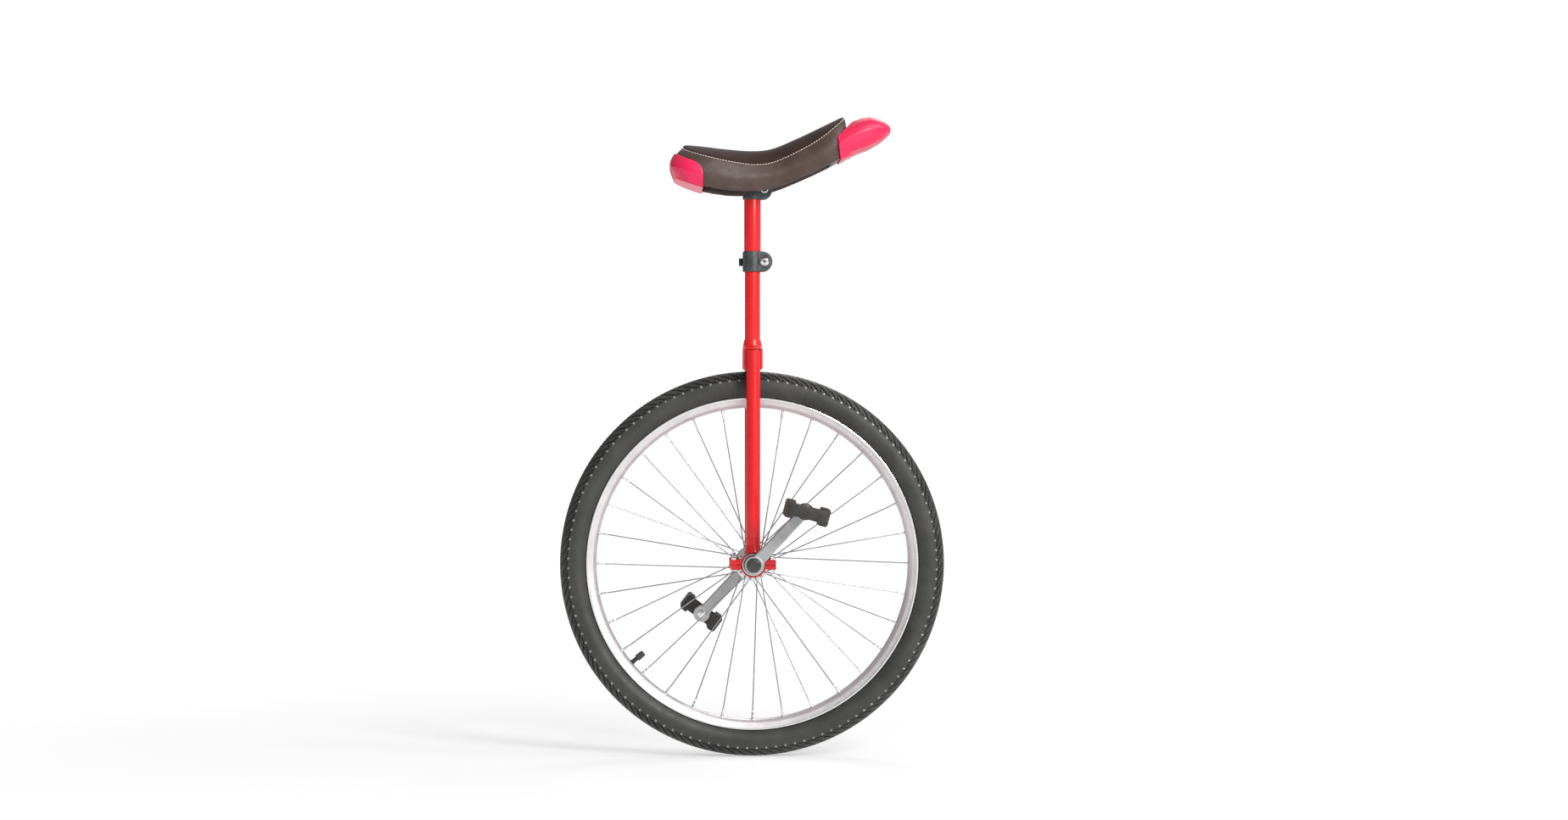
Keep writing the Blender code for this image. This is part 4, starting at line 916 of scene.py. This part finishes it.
def make_crank(side, label):
    """Built along +X with its outer face towards +Z, then stood on its side of the wheel."""
    depth = CRANK_OUTER_Y - CRANK_INNER_Y
    boss = rod(0.014, (0, 0, -0.0065), (0, 0, depth), 80, 0.001)
    eye = rod(0.013, (CRANK_LENGTH, 0, 0), (CRANK_LENGTH, 0, depth), 64, 0.001)
    waist = [(0.0, -0.0094), (CRANK_LENGTH, -0.0087), (CRANK_LENGTH, 0.0087), (0.0, 0.0094)]
    arm = slab(waist, flat_at(), depth - 0.001, 0.0016)
    recess = rod(0.0103, (0, 0, depth - 0.005), (0, 0, depth + 0.01), 64)
    thread = rod(0.0072, (CRANK_LENGTH, 0, -0.01), (CRANK_LENGTH, 0, depth + 0.01), 48)
    square = box((-0.0066, -0.0066, -0.02), (0.0066, 0.0066, depth - 0.004))
    shape = carved(melted([boss, eye, arm], 0.0006, 4, 0.35), recess, thread, square)
    outward = Matrix(((1, 0, 0, 0), (0, 0, side, 0), (0, 1, 0, 0), (0, 0, 0, 1)))
    stand = Matrix.Translation((HUB.x, side * CRANK_INNER_Y, HUB.z))
    shape = moved(shape, stand @ Matrix.Rotation(-crank_turn(side), 4, "Y") @ outward)
    piece(f"crank_arm_{label}", shape, "wheel", SATIN, [f"crank_{label}"])
    face = CRANK_OUTER_Y + GAP
    dome = [(0, face - 0.001), (0.0095, face - 0.001), (0.0095, face), (0.0115, face),
            (0.0115, face + 0.001, 0.0006), (0.0086, face + 0.0028, 0.004), (0.0, face + 0.0032)]
    cover = spun(dome, 0.0002, (0, 0, HUB.z), (0, side, 0), 72, 8)
    piece(f"crank_cover_{label}", cover, "wheel", CAP_PLASTIC, [f"dust_cap_{label}"])


def make_pedal(side, label):
    """Two toothed tread blocks and a barrel between end plates, in the pedal's own XY outline."""
    centre = in_wheel(CRANK_LENGTH, crank_turn(side))
    length, inner, outer = PEDAL_HALF_LENGTH, PEDAL_INNER_Y, PEDAL_OUTER_Y

    def from_side(outline, start, end, edge=0.0005):
        near, far = sorted((side * start, side * end))
        return slab(outline, facing_side(centre.x, far, centre.z, PEDAL_TILTS[side]), far - near, edge)

    def pipe(bore, radius, start, end, edge):
        return ring(bore, radius, start, end, (centre.x, 0, centre.z), (0, side, 0), edge, 64)

    half = (outer - inner) / 2
    blocks = []
    for end in (-1, 1):
        for start in (inner + 0.0006, inner + 0.0006 + half):
            blocks.append(from_side(tread_block(end), start, start + half - 0.0012))
    piece(f"pedal_treads_{label}", merged(*blocks), f"{label}_pedal", PEDAL_PLASTIC, [f"pedal_{label}"], 25)
    upper = [(length - 0.004, 0.01), (0.012, 0.0094), (-0.012, 0.0094), (-length + 0.004, 0.01)]
    plate = rounded(upper + [(-x, -z) for x, z in upper], 0.003)
    parts = [from_side(plate, inner, inner + 0.006, 0.0008),
             from_side(plate, outer - 0.005, outer, 0.0012),
             pipe(0.0116, 0.0132, inner + 0.0005, inner + 0.006, 0.0004),
             pipe(0.0058, 0.0092, inner, outer - 0.006, 0.0006)]
    for end in (-1, 1):
        beam = rectangle(end * (length - 0.015), -0.0022, end * (length - 0.0105), 0.0022)
        parts.append(from_side(beam, inner + 0.004, outer - 0.004))
    web = rectangle(-length + 0.0115, -0.004, length - 0.0115, 0.004)
    for share in (0.32, 0.5, 0.68):
        y = inner + share * (outer - inner)
        parts.append(from_side(web, y - 0.0014, y + 0.0014))
    piece(f"pedal_cage_{label}", merged(*parts), f"{label}_pedal", PEDAL_PLASTIC)
    make_spindle(side, label, centre)


def tread_block(end):
    """A block with teeth along its top, its outer face and its foot; end is -1 for the rear one."""
    length, height = PEDAL_HALF_LENGTH, PEDAL_HALF_HEIGHT
    upper = [Vector((length - 0.013, 0.0108)), Vector((length - 0.0124, height)),
             Vector((length - 0.003, height)), Vector((length, 0.0105))]
    corners = upper + [Vector((corner.x, -corner.y)) for corner in reversed(upper)]
    outline = [corners[0]]
    for start, teeth in ((1, 3), (3, 6), (5, 3)):
        a, b = corners[start], corners[start + 1]
        run = (b - a) / teeth
        notch = Vector((run.y, -run.x)).normalized() * 0.001
        for tooth in range(teeth):
            for share, depth in ((0.08, 0), (0.56, 0), (0.68, 1), (0.96, 1)):
                outline.append(a + (tooth + share) * run + depth * notch)
        outline.append(b)
    outline.append(corners[-1])
    return [Vector((end * point.x, point.y)) for point in outline]


def make_spindle(side, label, centre):
    start, face, end = CRANK_INNER_Y - 0.0005, CRANK_OUTER_Y + GAP, PEDAL_OUTER_Y - 0.007
    shaft = [(0, start), (0.0069, start, 0.0006), (0.0069, face), (0.0084, face),
             (0.0084, face + 0.0032), (0.0052, face + 0.0042), (0.0052, end), (0, end)]
    axle = spun(shaft, 0.0003, (centre.x, 0, centre.z), (0, side, 0), 48)
    piece(f"pedal_axle_{label}", axle, "wheel", BRIGHT, [f"pedal_spindle_{label}"])


# ---- frame


def make_crown():
    collar = [(0, CROWN_BOTTOM), (CROWN_RADIUS, CROWN_BOTTOM), (CROWN_RADIUS, CROWN_SHOULDER, 0.0012),
              (STEM_RADIUS + 0.0007, CROWN_TOP), (0, CROWN_TOP)]
    sleeve = spun(collar, 0.0008, (0, 0, 0), Z_AXIS, 80)
    y = BEARING_Y
    half = [(y + 0.0001, CROWN_BOTTOM + 0.003), (y + 0.0001, LEG_TOP + 0.003),
            (y - 0.012, LEG_TOP + 0.005), (0.012, CROWN_SHOULDER)]
    foot = [(-y + 0.003, CROWN_BOTTOM), (y - 0.003, CROWN_BOTTOM)]
    width = CROWN_RADIUS - 0.0003
    across = Matrix(((0, 0, 1, -width), (1, 0, 0, 0), (0, 1, 0, 0), (0, 0, 0, 1)))
    bridge = slab(half + [(-a, b) for a, b in reversed(half)] + foot, across, 2 * width, 0.0022)
    low = CROWN_BOTTOM - 0.01
    cutters = [rod(STEM_RADIUS + GAP, (0, 0, low), (0, 0, CROWN_TOP + 0.01), 80)]
    for place in (-y, y):
        cutters.append(rod(LEG_RADIUS + 0.0004, (0, place, low), (0, place, LEG_TOP + 0.0014), 80))
    crown = carved(melted([sleeve, bridge], 0.0008, 4, 0.4), *cutters)
    piece("crown_bridge", crown, "frame", PAINT, ["crown"])


def make_tubes():
    low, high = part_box("stem")
    stem = ring(STEM_RADIUS - 0.0016, STEM_RADIUS, low.z, high.z, edge=0.0005)
    piece("stem_tube", stem, "frame", PAINT, ["stem"])
    low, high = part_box("saddle_tube")
    tube = ring(STEM_RADIUS + 0.00025, TUBE_RADIUS, low.z, high.z, edge=0.0003)
    slot = box((0.005, -0.0012, low.z - 0.01), (0.02, 0.0012, LOWER_CLAMP_Z + CLAMP_HALF_HEIGHT - 0.002))
    piece("post_tube", carved(tube, slot), "seatpost", PAINT, ["saddle_tube"])


def clamp_solids(z):
    half = CLAMP_HALF_HEIGHT
    collar = rod(CLAMP_RADIUS, (0, 0, z - half), (0, 0, z + half), 80, 0.0014)
    round_end = [(EAR_X + x, y) for x, y in arc(half, -math.pi / 2, math.pi / 2, 24)]
    outline = [(0.0, -half)] + round_end + [(0.0, half)]
    return [collar, slab(outline, facing_side(0, EAR_HALF_WIDTH, z), 2 * EAR_HALF_WIDTH, 0.0018)]


def clamp_cutters(z, top, bolt_radius):
    low = z - CLAMP_HALF_HEIGHT - 0.01
    return [rod(TUBE_RADIUS + GAP, (0, 0, low), (0, 0, top), 80),
            box((0.005, -0.0012, low), (0.05, 0.0012, top)),
            rod(bolt_radius, (EAR_BOLT_X, -0.02, z), (EAR_BOLT_X, 0.02, z), 32)]


def make_lower_clamp():
    x, z = EAR_BOLT_X, LOWER_CLAMP_Z
    casting = melted(clamp_solids(z), 0.0005, 5, 0.35)
    clamp = carved(casting, *clamp_cutters(z, z + CLAMP_HALF_HEIGHT + 0.01, 0.003))
    piece("clamp_collar", clamp, "seatpost", CAST, ["seat_clamp"])
    skewer = merged(rod(0.0026, (x, -0.017, z), (x, LEVER_Y, z), 32, 0.0004),
                    rod(0.0022, (x, LEVER_Y, z - 0.0063), (x, LEVER_Y, z + 0.0063), 24, 0.0003))
    piece("skewer_rod", skewer, "seatpost", BRIGHT, ["clamp_skewer"])
    face = EAR_HALF_WIDTH + GAP
    nut = [(0, face), (0.0075, face, 0.0003), (0.0075, 0.0138), (0.0066, 0.0146), (0.0064, 0.016, 0.0012),
           (0.004, 0.0178, 0.001), (0.0028, 0.0178), (0.0024, 0.017, 0.0003), (0, 0.017)]
    nut = spun(nut, 0.0004, (x, 0, z), (0, -1, 0), 64, 6)
    piece("skewer_cap_nut", nut, "seatpost", BRIGHT, ["skewer_nut"])


def make_lever():
    x, y, z = EAR_BOLT_X, LEVER_Y, LOWER_CLAMP_Z
    half, fork = 0.0062, 0.003
    cam = rod(0.0072, (x, y, z - half), (x, y, z + half), 64, 0.0008)
    arm = [(x - 0.002, y + 0.007), (0.0, y + 0.0062), (-0.012, y + 0.0035), (-0.02, y - 0.003),
           (-0.0215, y - 0.008, 0.001), (-0.018, y - 0.0085, 0.001), (-0.016, y - 0.0045),
           (-0.01, y - 0.0005), (0.0, y + 0.0012), (x - 0.006, y + 0.001)]
    blade = slab(rounded(arm, 0.004, steps=6), flat_at(0, 0, z - half), 2 * half, 0.0014)
    cutters = [box((x - 0.0062, y - 0.02, z - fork), (x + 0.02, y + 0.005, z + fork)),
               box((x - 0.001, y, z - fork), (x + 0.02, y + 0.02, z + fork)),
               rod(0.0026, (x, y, z - 0.02), (x, y, z + 0.02), 32)]
    lever = carved(melted([cam, blade], 0.00045, 4, 0.4), *cutters)
    piece("thumb_lever", lever, "lever", CAST, ["qr_lever"])


def make_upper_clamp():
    x, z = EAR_BOLT_X, UPPER_CLAMP_Z
    low, high = z + CLAMP_HALF_HEIGHT - 0.0005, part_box("saddle_clamp")[1].z
    pad = rounded(rectangle(-0.03, -0.02, 0.03, 0.02), 0.006)
    plate = slab(pad, flat_at(0, 0, low), high - low, 0.001)
    casting = melted(clamp_solids(z) + [plate], 0.0005, 5, 0.35)
    clamp = carved(casting, *clamp_cutters(z, z + CLAMP_HALF_HEIGHT, 0.0034))
    piece("saddle_bracket", clamp, "saddle", CAST, ["saddle_clamp"])
    face = EAR_HALF_WIDTH + GAP
    bolt = [(0, -0.0155), (0.0056, -0.0155), (0.0064, -0.0146), (0.0064, -face), (0.003, -face),
            (0.003, 0.0165), (0, 0.0165)]
    socket = slab(polygon(6, 0.003), facing_side(x, -0.0125, z), 0.005, 0.0001)
    body = carved(spun(bolt, 0.0005, (x, 0, z), Y_AXIS), socket)
    piece("saddle_bracket_bolt", body, "saddle", BRIGHT, ["saddle_clamp_bolt"])
    nut = slab(rounded(polygon(6, 0.0058, 0.2), 0.0004), facing_side(x, face + 0.005, z), 0.005, 0.0005)
    hole = rod(0.0031, (x, face - 0.01, z), (x, face + 0.02, z), 32)
    piece("saddle_bracket_nut", carved(nut, hole), "saddle", BRIGHT, ["saddle_clamp_nut"])


# ---- saddle


def saddle_sizes(t, grow):
    """The places and heights that shape one section of the saddle; t runs from rear to front."""
    crown_x, bulge_x, hem_x = [(1 - t) * (rear - grow) + t * (front + grow)
                               for rear, front in zip(SADDLE_REAR, SADDLE_FRONT)]
    rounding = 0.58 + 0.42 * math.sqrt(1.0 - abs(2 * t - 1) ** 9)
    crown_z = smooth_curve(CROWN_LINE, crown_x) + grow
    seam_z = smooth_curve(SEAM_LINE, (crown_x + hem_x) / 2)
    seam_z = crown_z - (crown_z - seam_z) * rounding
    hem_z = smooth_curve(HEM_LINE, hem_x) - grow
    width = smooth_curve(HALF_WIDTH_LINE, crown_x) * rounding + grow
    return crown_x, bulge_x, hem_x, crown_z, seam_z, hem_z, width


def top_point(t, share, grow=0.0):
    """A point on the top panel; share runs from 1 at the left seam to -1 at the right one."""
    crown_x, _, _, crown_z, seam_z, _, width = saddle_sizes(t, grow)
    height = crown_z - (crown_z - seam_z) * abs(share) ** 2.2
    return Vector((crown_x, (width - SEAM_INSET) * share, height))


def saddle_section(t, grow, skirt_steps=10, top_steps=10):
    """One ring of the saddle's outside, from hem over the crown to hem."""
    crown_x, bulge_x, hem_x, _, seam_z, hem_z, width = saddle_sizes(t, grow)
    controls = [Vector((hem_x, width - 0.006, hem_z)),
                Vector((bulge_x, width, 0.55 * hem_z + 0.45 * seam_z)),
                Vector((0.45 * bulge_x + 0.55 * crown_x, width - 0.005, seam_z - 0.008)),
                top_point(t, 1, grow)]
    half = [through(controls, 3 * step / skirt_steps) for step in range(skirt_steps)]
    half += [top_point(t, 1 - step / top_steps, grow) for step in range(top_steps)]
    return half + [top_point(t, 0, grow)] + [Vector((x, -y, z)) for x, y, z in reversed(half)]


def saddle_envelope(grow, stations=72):
    """The saddle's whole outside as one closed mesh."""
    bm = bmesh.new()
    spread = [0.5 - 0.5 * math.cos(math.pi * step / stations) for step in range(stations + 1)]
    rings = [[bm.verts.new(point) for point in saddle_section(t, grow)] for t in spread]
    skin(bm, rings, ends=False)
    for end in (rings[0], rings[-1]):
        last = len(end) - 1
        for index in range(last // 2):
            corners = [end[index], end[index + 1], end[last - index - 1], end[last - index]]
            bm.faces.new(list(dict.fromkeys(corners)))
    bmesh.ops.triangulate(bm, faces=bm.faces)
    return mesh_of(bm)


def underside(x):
    return smooth_curve(SEAM_LINE, x) - 0.006


def hollow(inset, low_by, start=-0.108, end=0.122, stations=24):
    """The space under the padding."""
    rings = []
    for step in range(stations + 1):
        x = start + (end - start) * step / stations
        width = smooth_curve(HALF_WIDTH_LINE, x) - inset
        top = underside(x)
        half = [(width - 0.006, top), (width, top - 0.004), (width, top - low_by)]
        rings.append([(x, -y, z) for y, z in reversed(half)] + [(x, y, z) for y, z in half])
    return skinned(rings, triangles=True)


def seam_points(count=260):
    """The seam right round the top panel, in order."""
    along = [step / count for step in range(count + 1)]
    across = [1 - 2 * step / 24 for step in range(1, 24)]
    front, rear = [top_point(1, share) for share in across], [top_point(0, -share) for share in across]
    return [top_point(t, 1) for t in along] + front + [top_point(t, -1) for t in reversed(along)] + rear


def seam_at(x):
    """The seam's half width and its height at a place along the saddle."""
    rear, front = SADDLE_REAR[0], SADDLE_FRONT[0]
    _, width, height = top_point(min(max((x - rear) / (front - rear), 0.0), 1.0), 1)
    return width, height


def swollen(mesh, fixed):
    """Blow a padded mesh up a little by cloth simulation; fixed says how firmly each vertex is held."""
    obj = temporary(mesh)
    pins = obj.vertex_groups.new(name="held")
    for index, weight in enumerate(fixed):
        if weight > 0:
            pins.add([index], weight, "REPLACE")
    rest = [vert.co.copy() for vert in obj.data.vertices]
    modifier = obj.modifiers.new("stuffing", "CLOTH")
    cloth = modifier.settings
    cloth.quality = 4
    cloth.mass = 0.4
    cloth.tension_stiffness = 25
    cloth.compression_stiffness = 25
    cloth.bending_stiffness = 4
    cloth.use_pressure = True
    cloth.uniform_pressure_force = 4.0
    cloth.effector_weights.gravity = 0.0
    cloth.vertex_group_mass = "held"
    modifier.point_cache.frame_end = 20
    for step in range(1, 21):
        bpy.context.scene.frame_set(step)
    result = evaluated(obj)
    bpy.context.scene.frame_set(1)
    limit = 0.003
    for vert, start, weight in zip(result.vertices, rest, fixed):
        step = (vert.co - start) * (1 - weight)
        vert.co = start + step * min(1.0, limit / max(step.length, limit))
    return result


def held_at(x, y, z):
    """How firmly the cover is held: at its ends, low on its skirt and where it lies on the base."""
    below = ease(0.004, 0.02, smooth_curve(SEAM_LINE, x) - z)
    inside = abs(y) < smooth_curve(HALF_WIDTH_LINE, x) - 0.0115 and z < underside(x) + 0.004
    return max(below * 0.85, float(inside), ease(0.118, 0.13, x), ease(0.085, 0.1, -x))


def make_cushion():
    pad = melted([carved(saddle_envelope(0.0), hollow(0.014, 0.075))], 0.003, 2, keep=1)
    pad = swollen(pad, [held_at(*vert.co) for vert in pad.vertices])
    obj = temporary(pad)
    finer = obj.modifiers.new("finer", "SUBSURF")
    finer.levels = finer.render_levels = 1
    pad = evaluated(obj)
    seam = seam_points()
    shape_seam(pad, seam)
    cushion = piece("saddle_padding", pad, "saddle", LEATHER, ["cushion"], 80)
    make_stitches(pad, seam)


def shape_seam(mesh, seam):
    """Draw the cover in along the seam, and mark the top panel for its leather."""
    tree = BVHTree.FromPolygons(*ribbon(seam))
    normals = [vert.normal.copy() for vert in mesh.vertices]
    panel = mesh.attributes.new("top_panel", "FLOAT", "POINT")
    shares = []
    for vert, normal in zip(mesh.vertices, normals):
        x, y, z = vert.co
        width, height = seam_at(x)
        rise = (z - height) / 0.01 - (abs(y) - width) / 0.01
        share = ease(-0.12, 0.12, rise) * ease(SADDLE_REAR[0] - 0.001, SADDLE_REAR[0] + 0.001, x)
        shares.append(share * (1 - ease(SADDLE_FRONT[0] - 0.001, SADDLE_FRONT[0] + 0.001, x)))
        distance = tree.find_nearest(vert.co)[3]
        vert.co = vert.co - normal * 0.0011 * math.exp(-((distance / 0.0016) ** 2))
    panel.data.foreach_set("value", shares)
    mesh.update()


def ribbon(points):
    """A thin closed strip along a loop, for nearest-point tests."""
    count = len(points)
    lifted = [point + Vector((0, 0, 0.00005)) for point in points]
    pairs = [(index, (index + 1) % count) for index in range(count)]
    return points + lifted, [(first, second, second + count, first + count) for first, second in pairs]


def make_stitches(mesh, seam):
    """Short lengths of thread along the seam, on the cover's surface."""
    faces = [face.vertices for face in mesh.polygons]
    surface = BVHTree.FromPolygons([vert.co for vert in mesh.vertices], faces)
    pitch, length = 0.0046, 0.0036
    loop = seam + seam[:1]
    lengths = [0.0]
    for a, b in zip(loop, loop[1:]):
        lengths.append(lengths[-1] + (b - a).length)

    def along(distance):
        distance %= lengths[-1]
        index = next(i for i in range(len(loop) - 1) if lengths[i + 1] >= distance)
        share = (distance - lengths[index]) / max(lengths[index + 1] - lengths[index], 1e-9)
        return loop[index].lerp(loop[index + 1], share)

    ends = [(0.00034, -0.0004), (0.00056, 0.0002)]
    threads = []
    for stitch in range(int(lengths[-1] / pitch)):
        stations = []
        for step, (radius, lift) in enumerate(ends + [(0.00062, 0.0004)] + ends[::-1]):
            spot = along(stitch * pitch + length * step / 4)
            outside = Vector((0, math.copysign(0.0012, spot.y), -0.0012))
            place, normal, _, _ = surface.find_nearest(spot + outside)
            stations.append((place + normal * lift, radius))
        threads.append(bar(stations, 6))
    piece("saddle_stitching", merged(*threads), "saddle", THREAD)


def side_region(points):
    """The space that an outline in X and Z covers."""
    return slab(points, facing_side(0, 0.15, 0), 0.3, 0.0)


def make_rear_bumper():
    outline = rounded([(-0.16, 0.86, 0), (-0.0795, 0.86, 0), (-0.0776, 0.924, 0.02), (-0.11, 0.9362),
                       (-0.127, 0.9458), (-0.16, 0.956, 0)], 0.004, steps=10)
    shell = combined(saddle_envelope(BUMPER_THICKNESS), "INTERSECT", [side_region(outline)])
    bumper = melted([carved(shell, saddle_envelope(0.0))], 0.00075, 5, 0.35)
    piece("bumper_rear", bumper, "saddle", PINK, ["rear_bumper"])


def nose_section(x, low, high, width):
    half = [(0.0, 0.0), (0.42, 0.0), (0.78, 0.08), (0.96, 0.28), (1.0, 0.55), (0.93, 0.72), (0.8, 0.84),
            (0.62, 0.93), (0.34, 0.99), (0.0, 1.0)]
    left = [Vector((x, width * across, low + up * (high - low))) for across, up in half]
    return left + [Vector((p.x, -p.y, p.z)) for p in reversed(left[1:-1])]


def nose(stations=40):
    """A blunt upturned nose, ridged along each side."""
    lows = [(0.134, 0.9316), (0.148, 0.939), (0.165, 0.9468), (0.181, 0.953), (0.192, 0.9588),
            (0.203, 0.9656), (0.2115, 0.973), (0.2165, 0.978)]
    highs = [(0.134, 0.985), (0.148, 0.9925), (0.165, 1.0), (0.181, 1.0046), (0.192, 1.0034),
             (0.203, 0.999), (0.2115, 0.9935), (0.2165, 0.9885)]
    widths = [(0.134, 0.0545), (0.148, 0.0542), (0.165, 0.0525), (0.181, 0.049), (0.192, 0.045),
              (0.203, 0.039), (0.2115, 0.0305), (0.2165, 0.02)]
    rings = []
    for step in range(stations + 1):
        x = lows[0][0] + (lows[-1][0] - lows[0][0]) * math.sin(math.pi / 2 * step / stations)
        rings.append(nose_section(x, *(smooth_curve(line, x) for line in (lows, highs, widths))))
    return skinned(rings, triangles=True)


def make_front_bumper():
    outline = rounded([(0.142, 0.89, 0), (0.1366, 0.9326), (0.1309, 0.9687), (0.156, 0.996, 0.006),
                       (0.17, 1.04, 0), (0.26, 1.04, 0), (0.26, 0.89, 0)], 0.004, steps=8)
    whole = combined(saddle_envelope(BUMPER_THICKNESS), "UNION", [nose()])
    shell = carved(combined(whole, "INTERSECT", [side_region(outline)]), saddle_envelope(0.0))
    piece("bumper_front", melted([shell], 0.0009, 8, 0.35), "saddle", PINK, ["front_bumper"])


# ---- CAD nodes that are shown


def finish_cad_nodes():
    shown = {"inner_tube": INNER_RUBBER, "rim_strip": INNER_RUBBER, "axle": BEARING_METAL,
             "saddle_base": BASE_PLASTIC, "crank_bolt_right": BRIGHT, "crank_bolt_left": BRIGHT}
    for node, (_, material) in shown.items():
        mesh = frame["nodes"][node].data
        mesh.materials.clear()
        mesh.materials.append(material)


# ---- stage


def make_floor():
    """A white floor that fades into the backdrop."""
    bm = bmesh.new()
    bmesh.ops.create_circle(bm, cap_ends=True, segments=96, radius=14.0)
    mesh = bpy.data.meshes.new("floor")
    bm.to_mesh(mesh)
    bm.free()
    floor = bpy.data.objects.new("floor", mesh)
    bpy.context.scene.collection.objects.link(floor)
    material, tree, shader = new_material("floor_white", Base_Color=(0.9, 0.9, 0.9, 1.0), Roughness=0.85,
                                          Specular_IOR_Level=0.1)
    glow = add(tree, "Emission", {"Color": (1, 1, 1, 1), "Strength": 1.1}).outputs["Emission"]
    away = vectors(tree, "LENGTH", add(tree, "TexCoord").outputs["Object"])["Value"]
    share = mapped(tree, away, 0.5, 2.2, 0.42, 1.0)
    mix = add(tree, "MixShader", {"Fac": share, 1: shader.outputs["BSDF"], 2: glow}).outputs["Shader"]
    tree.links.new(mix, tree.nodes["Material Output"].inputs["Surface"])
    mesh.materials.append(material)


def make_world():
    """Soft light from all round, stronger from the right and from above; the camera sees white."""
    world = bpy.data.worlds.new("studio")
    bpy.context.scene.world = world
    world.use_nodes = True
    tree = world.node_tree
    tree.nodes.clear()
    parts = add(tree, "SeparateXYZ", {"Vector": add(tree, "TexCoord").outputs["Generated"]}).outputs
    side = mapped(tree, parts["X"], -1.0, 1.0, 0.2, 0.5)
    level = arithmetic(tree, "ADD", side, mapped(tree, parts["Z"], 0.1, 1.0, 0.0, 0.24))
    seen = add(tree, "Background", {"Color": (1, 1, 1, 1), "Strength": 1.1}).outputs["Background"]
    lighting = add(tree, "Background", {"Color": (1, 1, 1, 1), "Strength": level}).outputs["Background"]
    by_camera = add(tree, "LightPath").outputs["Is Camera Ray"]
    mix = add(tree, "MixShader", {"Fac": by_camera, 1: lighting, 2: seen}).outputs["Shader"]
    add(tree, "OutputWorld", {"Surface": mix})


def make_light(name, azimuth, elevation, distance, size, power, target=(0, 0, 0.55)):
    """A soft box; azimuth 0 is at the camera's side, and it grows to the right."""
    light = bpy.data.lights.new(name, "AREA")
    light.shape = "RECTANGLE"
    light.size, light.size_y = size
    light.energy = power
    obj = bpy.data.objects.new(name, light)
    bpy.context.scene.collection.objects.link(obj)
    a, e = math.radians(azimuth), math.radians(elevation)
    towards = Vector((math.sin(a) * math.cos(e), -math.cos(a) * math.cos(e), math.sin(e)))
    obj.location = Vector(target) + distance * towards
    obj.rotation_euler = towards.to_track_quat("Z", "Y").to_euler()


def make_camera():
    camera = bpy.data.cameras.new("camera")
    camera.lens = 70.1
    camera.sensor_width = 36.0
    obj = bpy.data.objects.new("camera", camera)
    bpy.context.scene.collection.objects.link(obj)
    obj.location = (-0.133, -4.8, 0.513)
    obj.rotation_euler = (math.radians(90.36), 0, math.radians(-2.18))
    bpy.context.scene.camera = obj


def build():
    make_camera()
    make_floor()
    make_world()
    make_light("key", 30, 26, 3.6, (0.9, 1.8), 100)
    make_light("side", 68, 40, 4.0, (1.2, 1.2), 26)
    make_light("back", 165, 40, 3.5, (1.5, 1.0), 26)
    bpy.context.scene.view_settings.view_transform = "Standard"
    make_tyre()
    make_tread()
    make_rim()
    make_valve()
    make_hub()
    make_spokes()
    for side, label in SIDES:
        make_bearing(side, label)
        make_leg(side, label)
        make_bearing_cap(side, label)
        make_cap_bolts(side, label)
        make_crank(side, label)
        make_pedal(side, label)
    make_crown()
    make_tubes()
    make_lower_clamp()
    make_lever()
    make_upper_clamp()
    make_cushion()
    make_rear_bumper()
    make_front_bumper()
    finish_cad_nodes()


build()
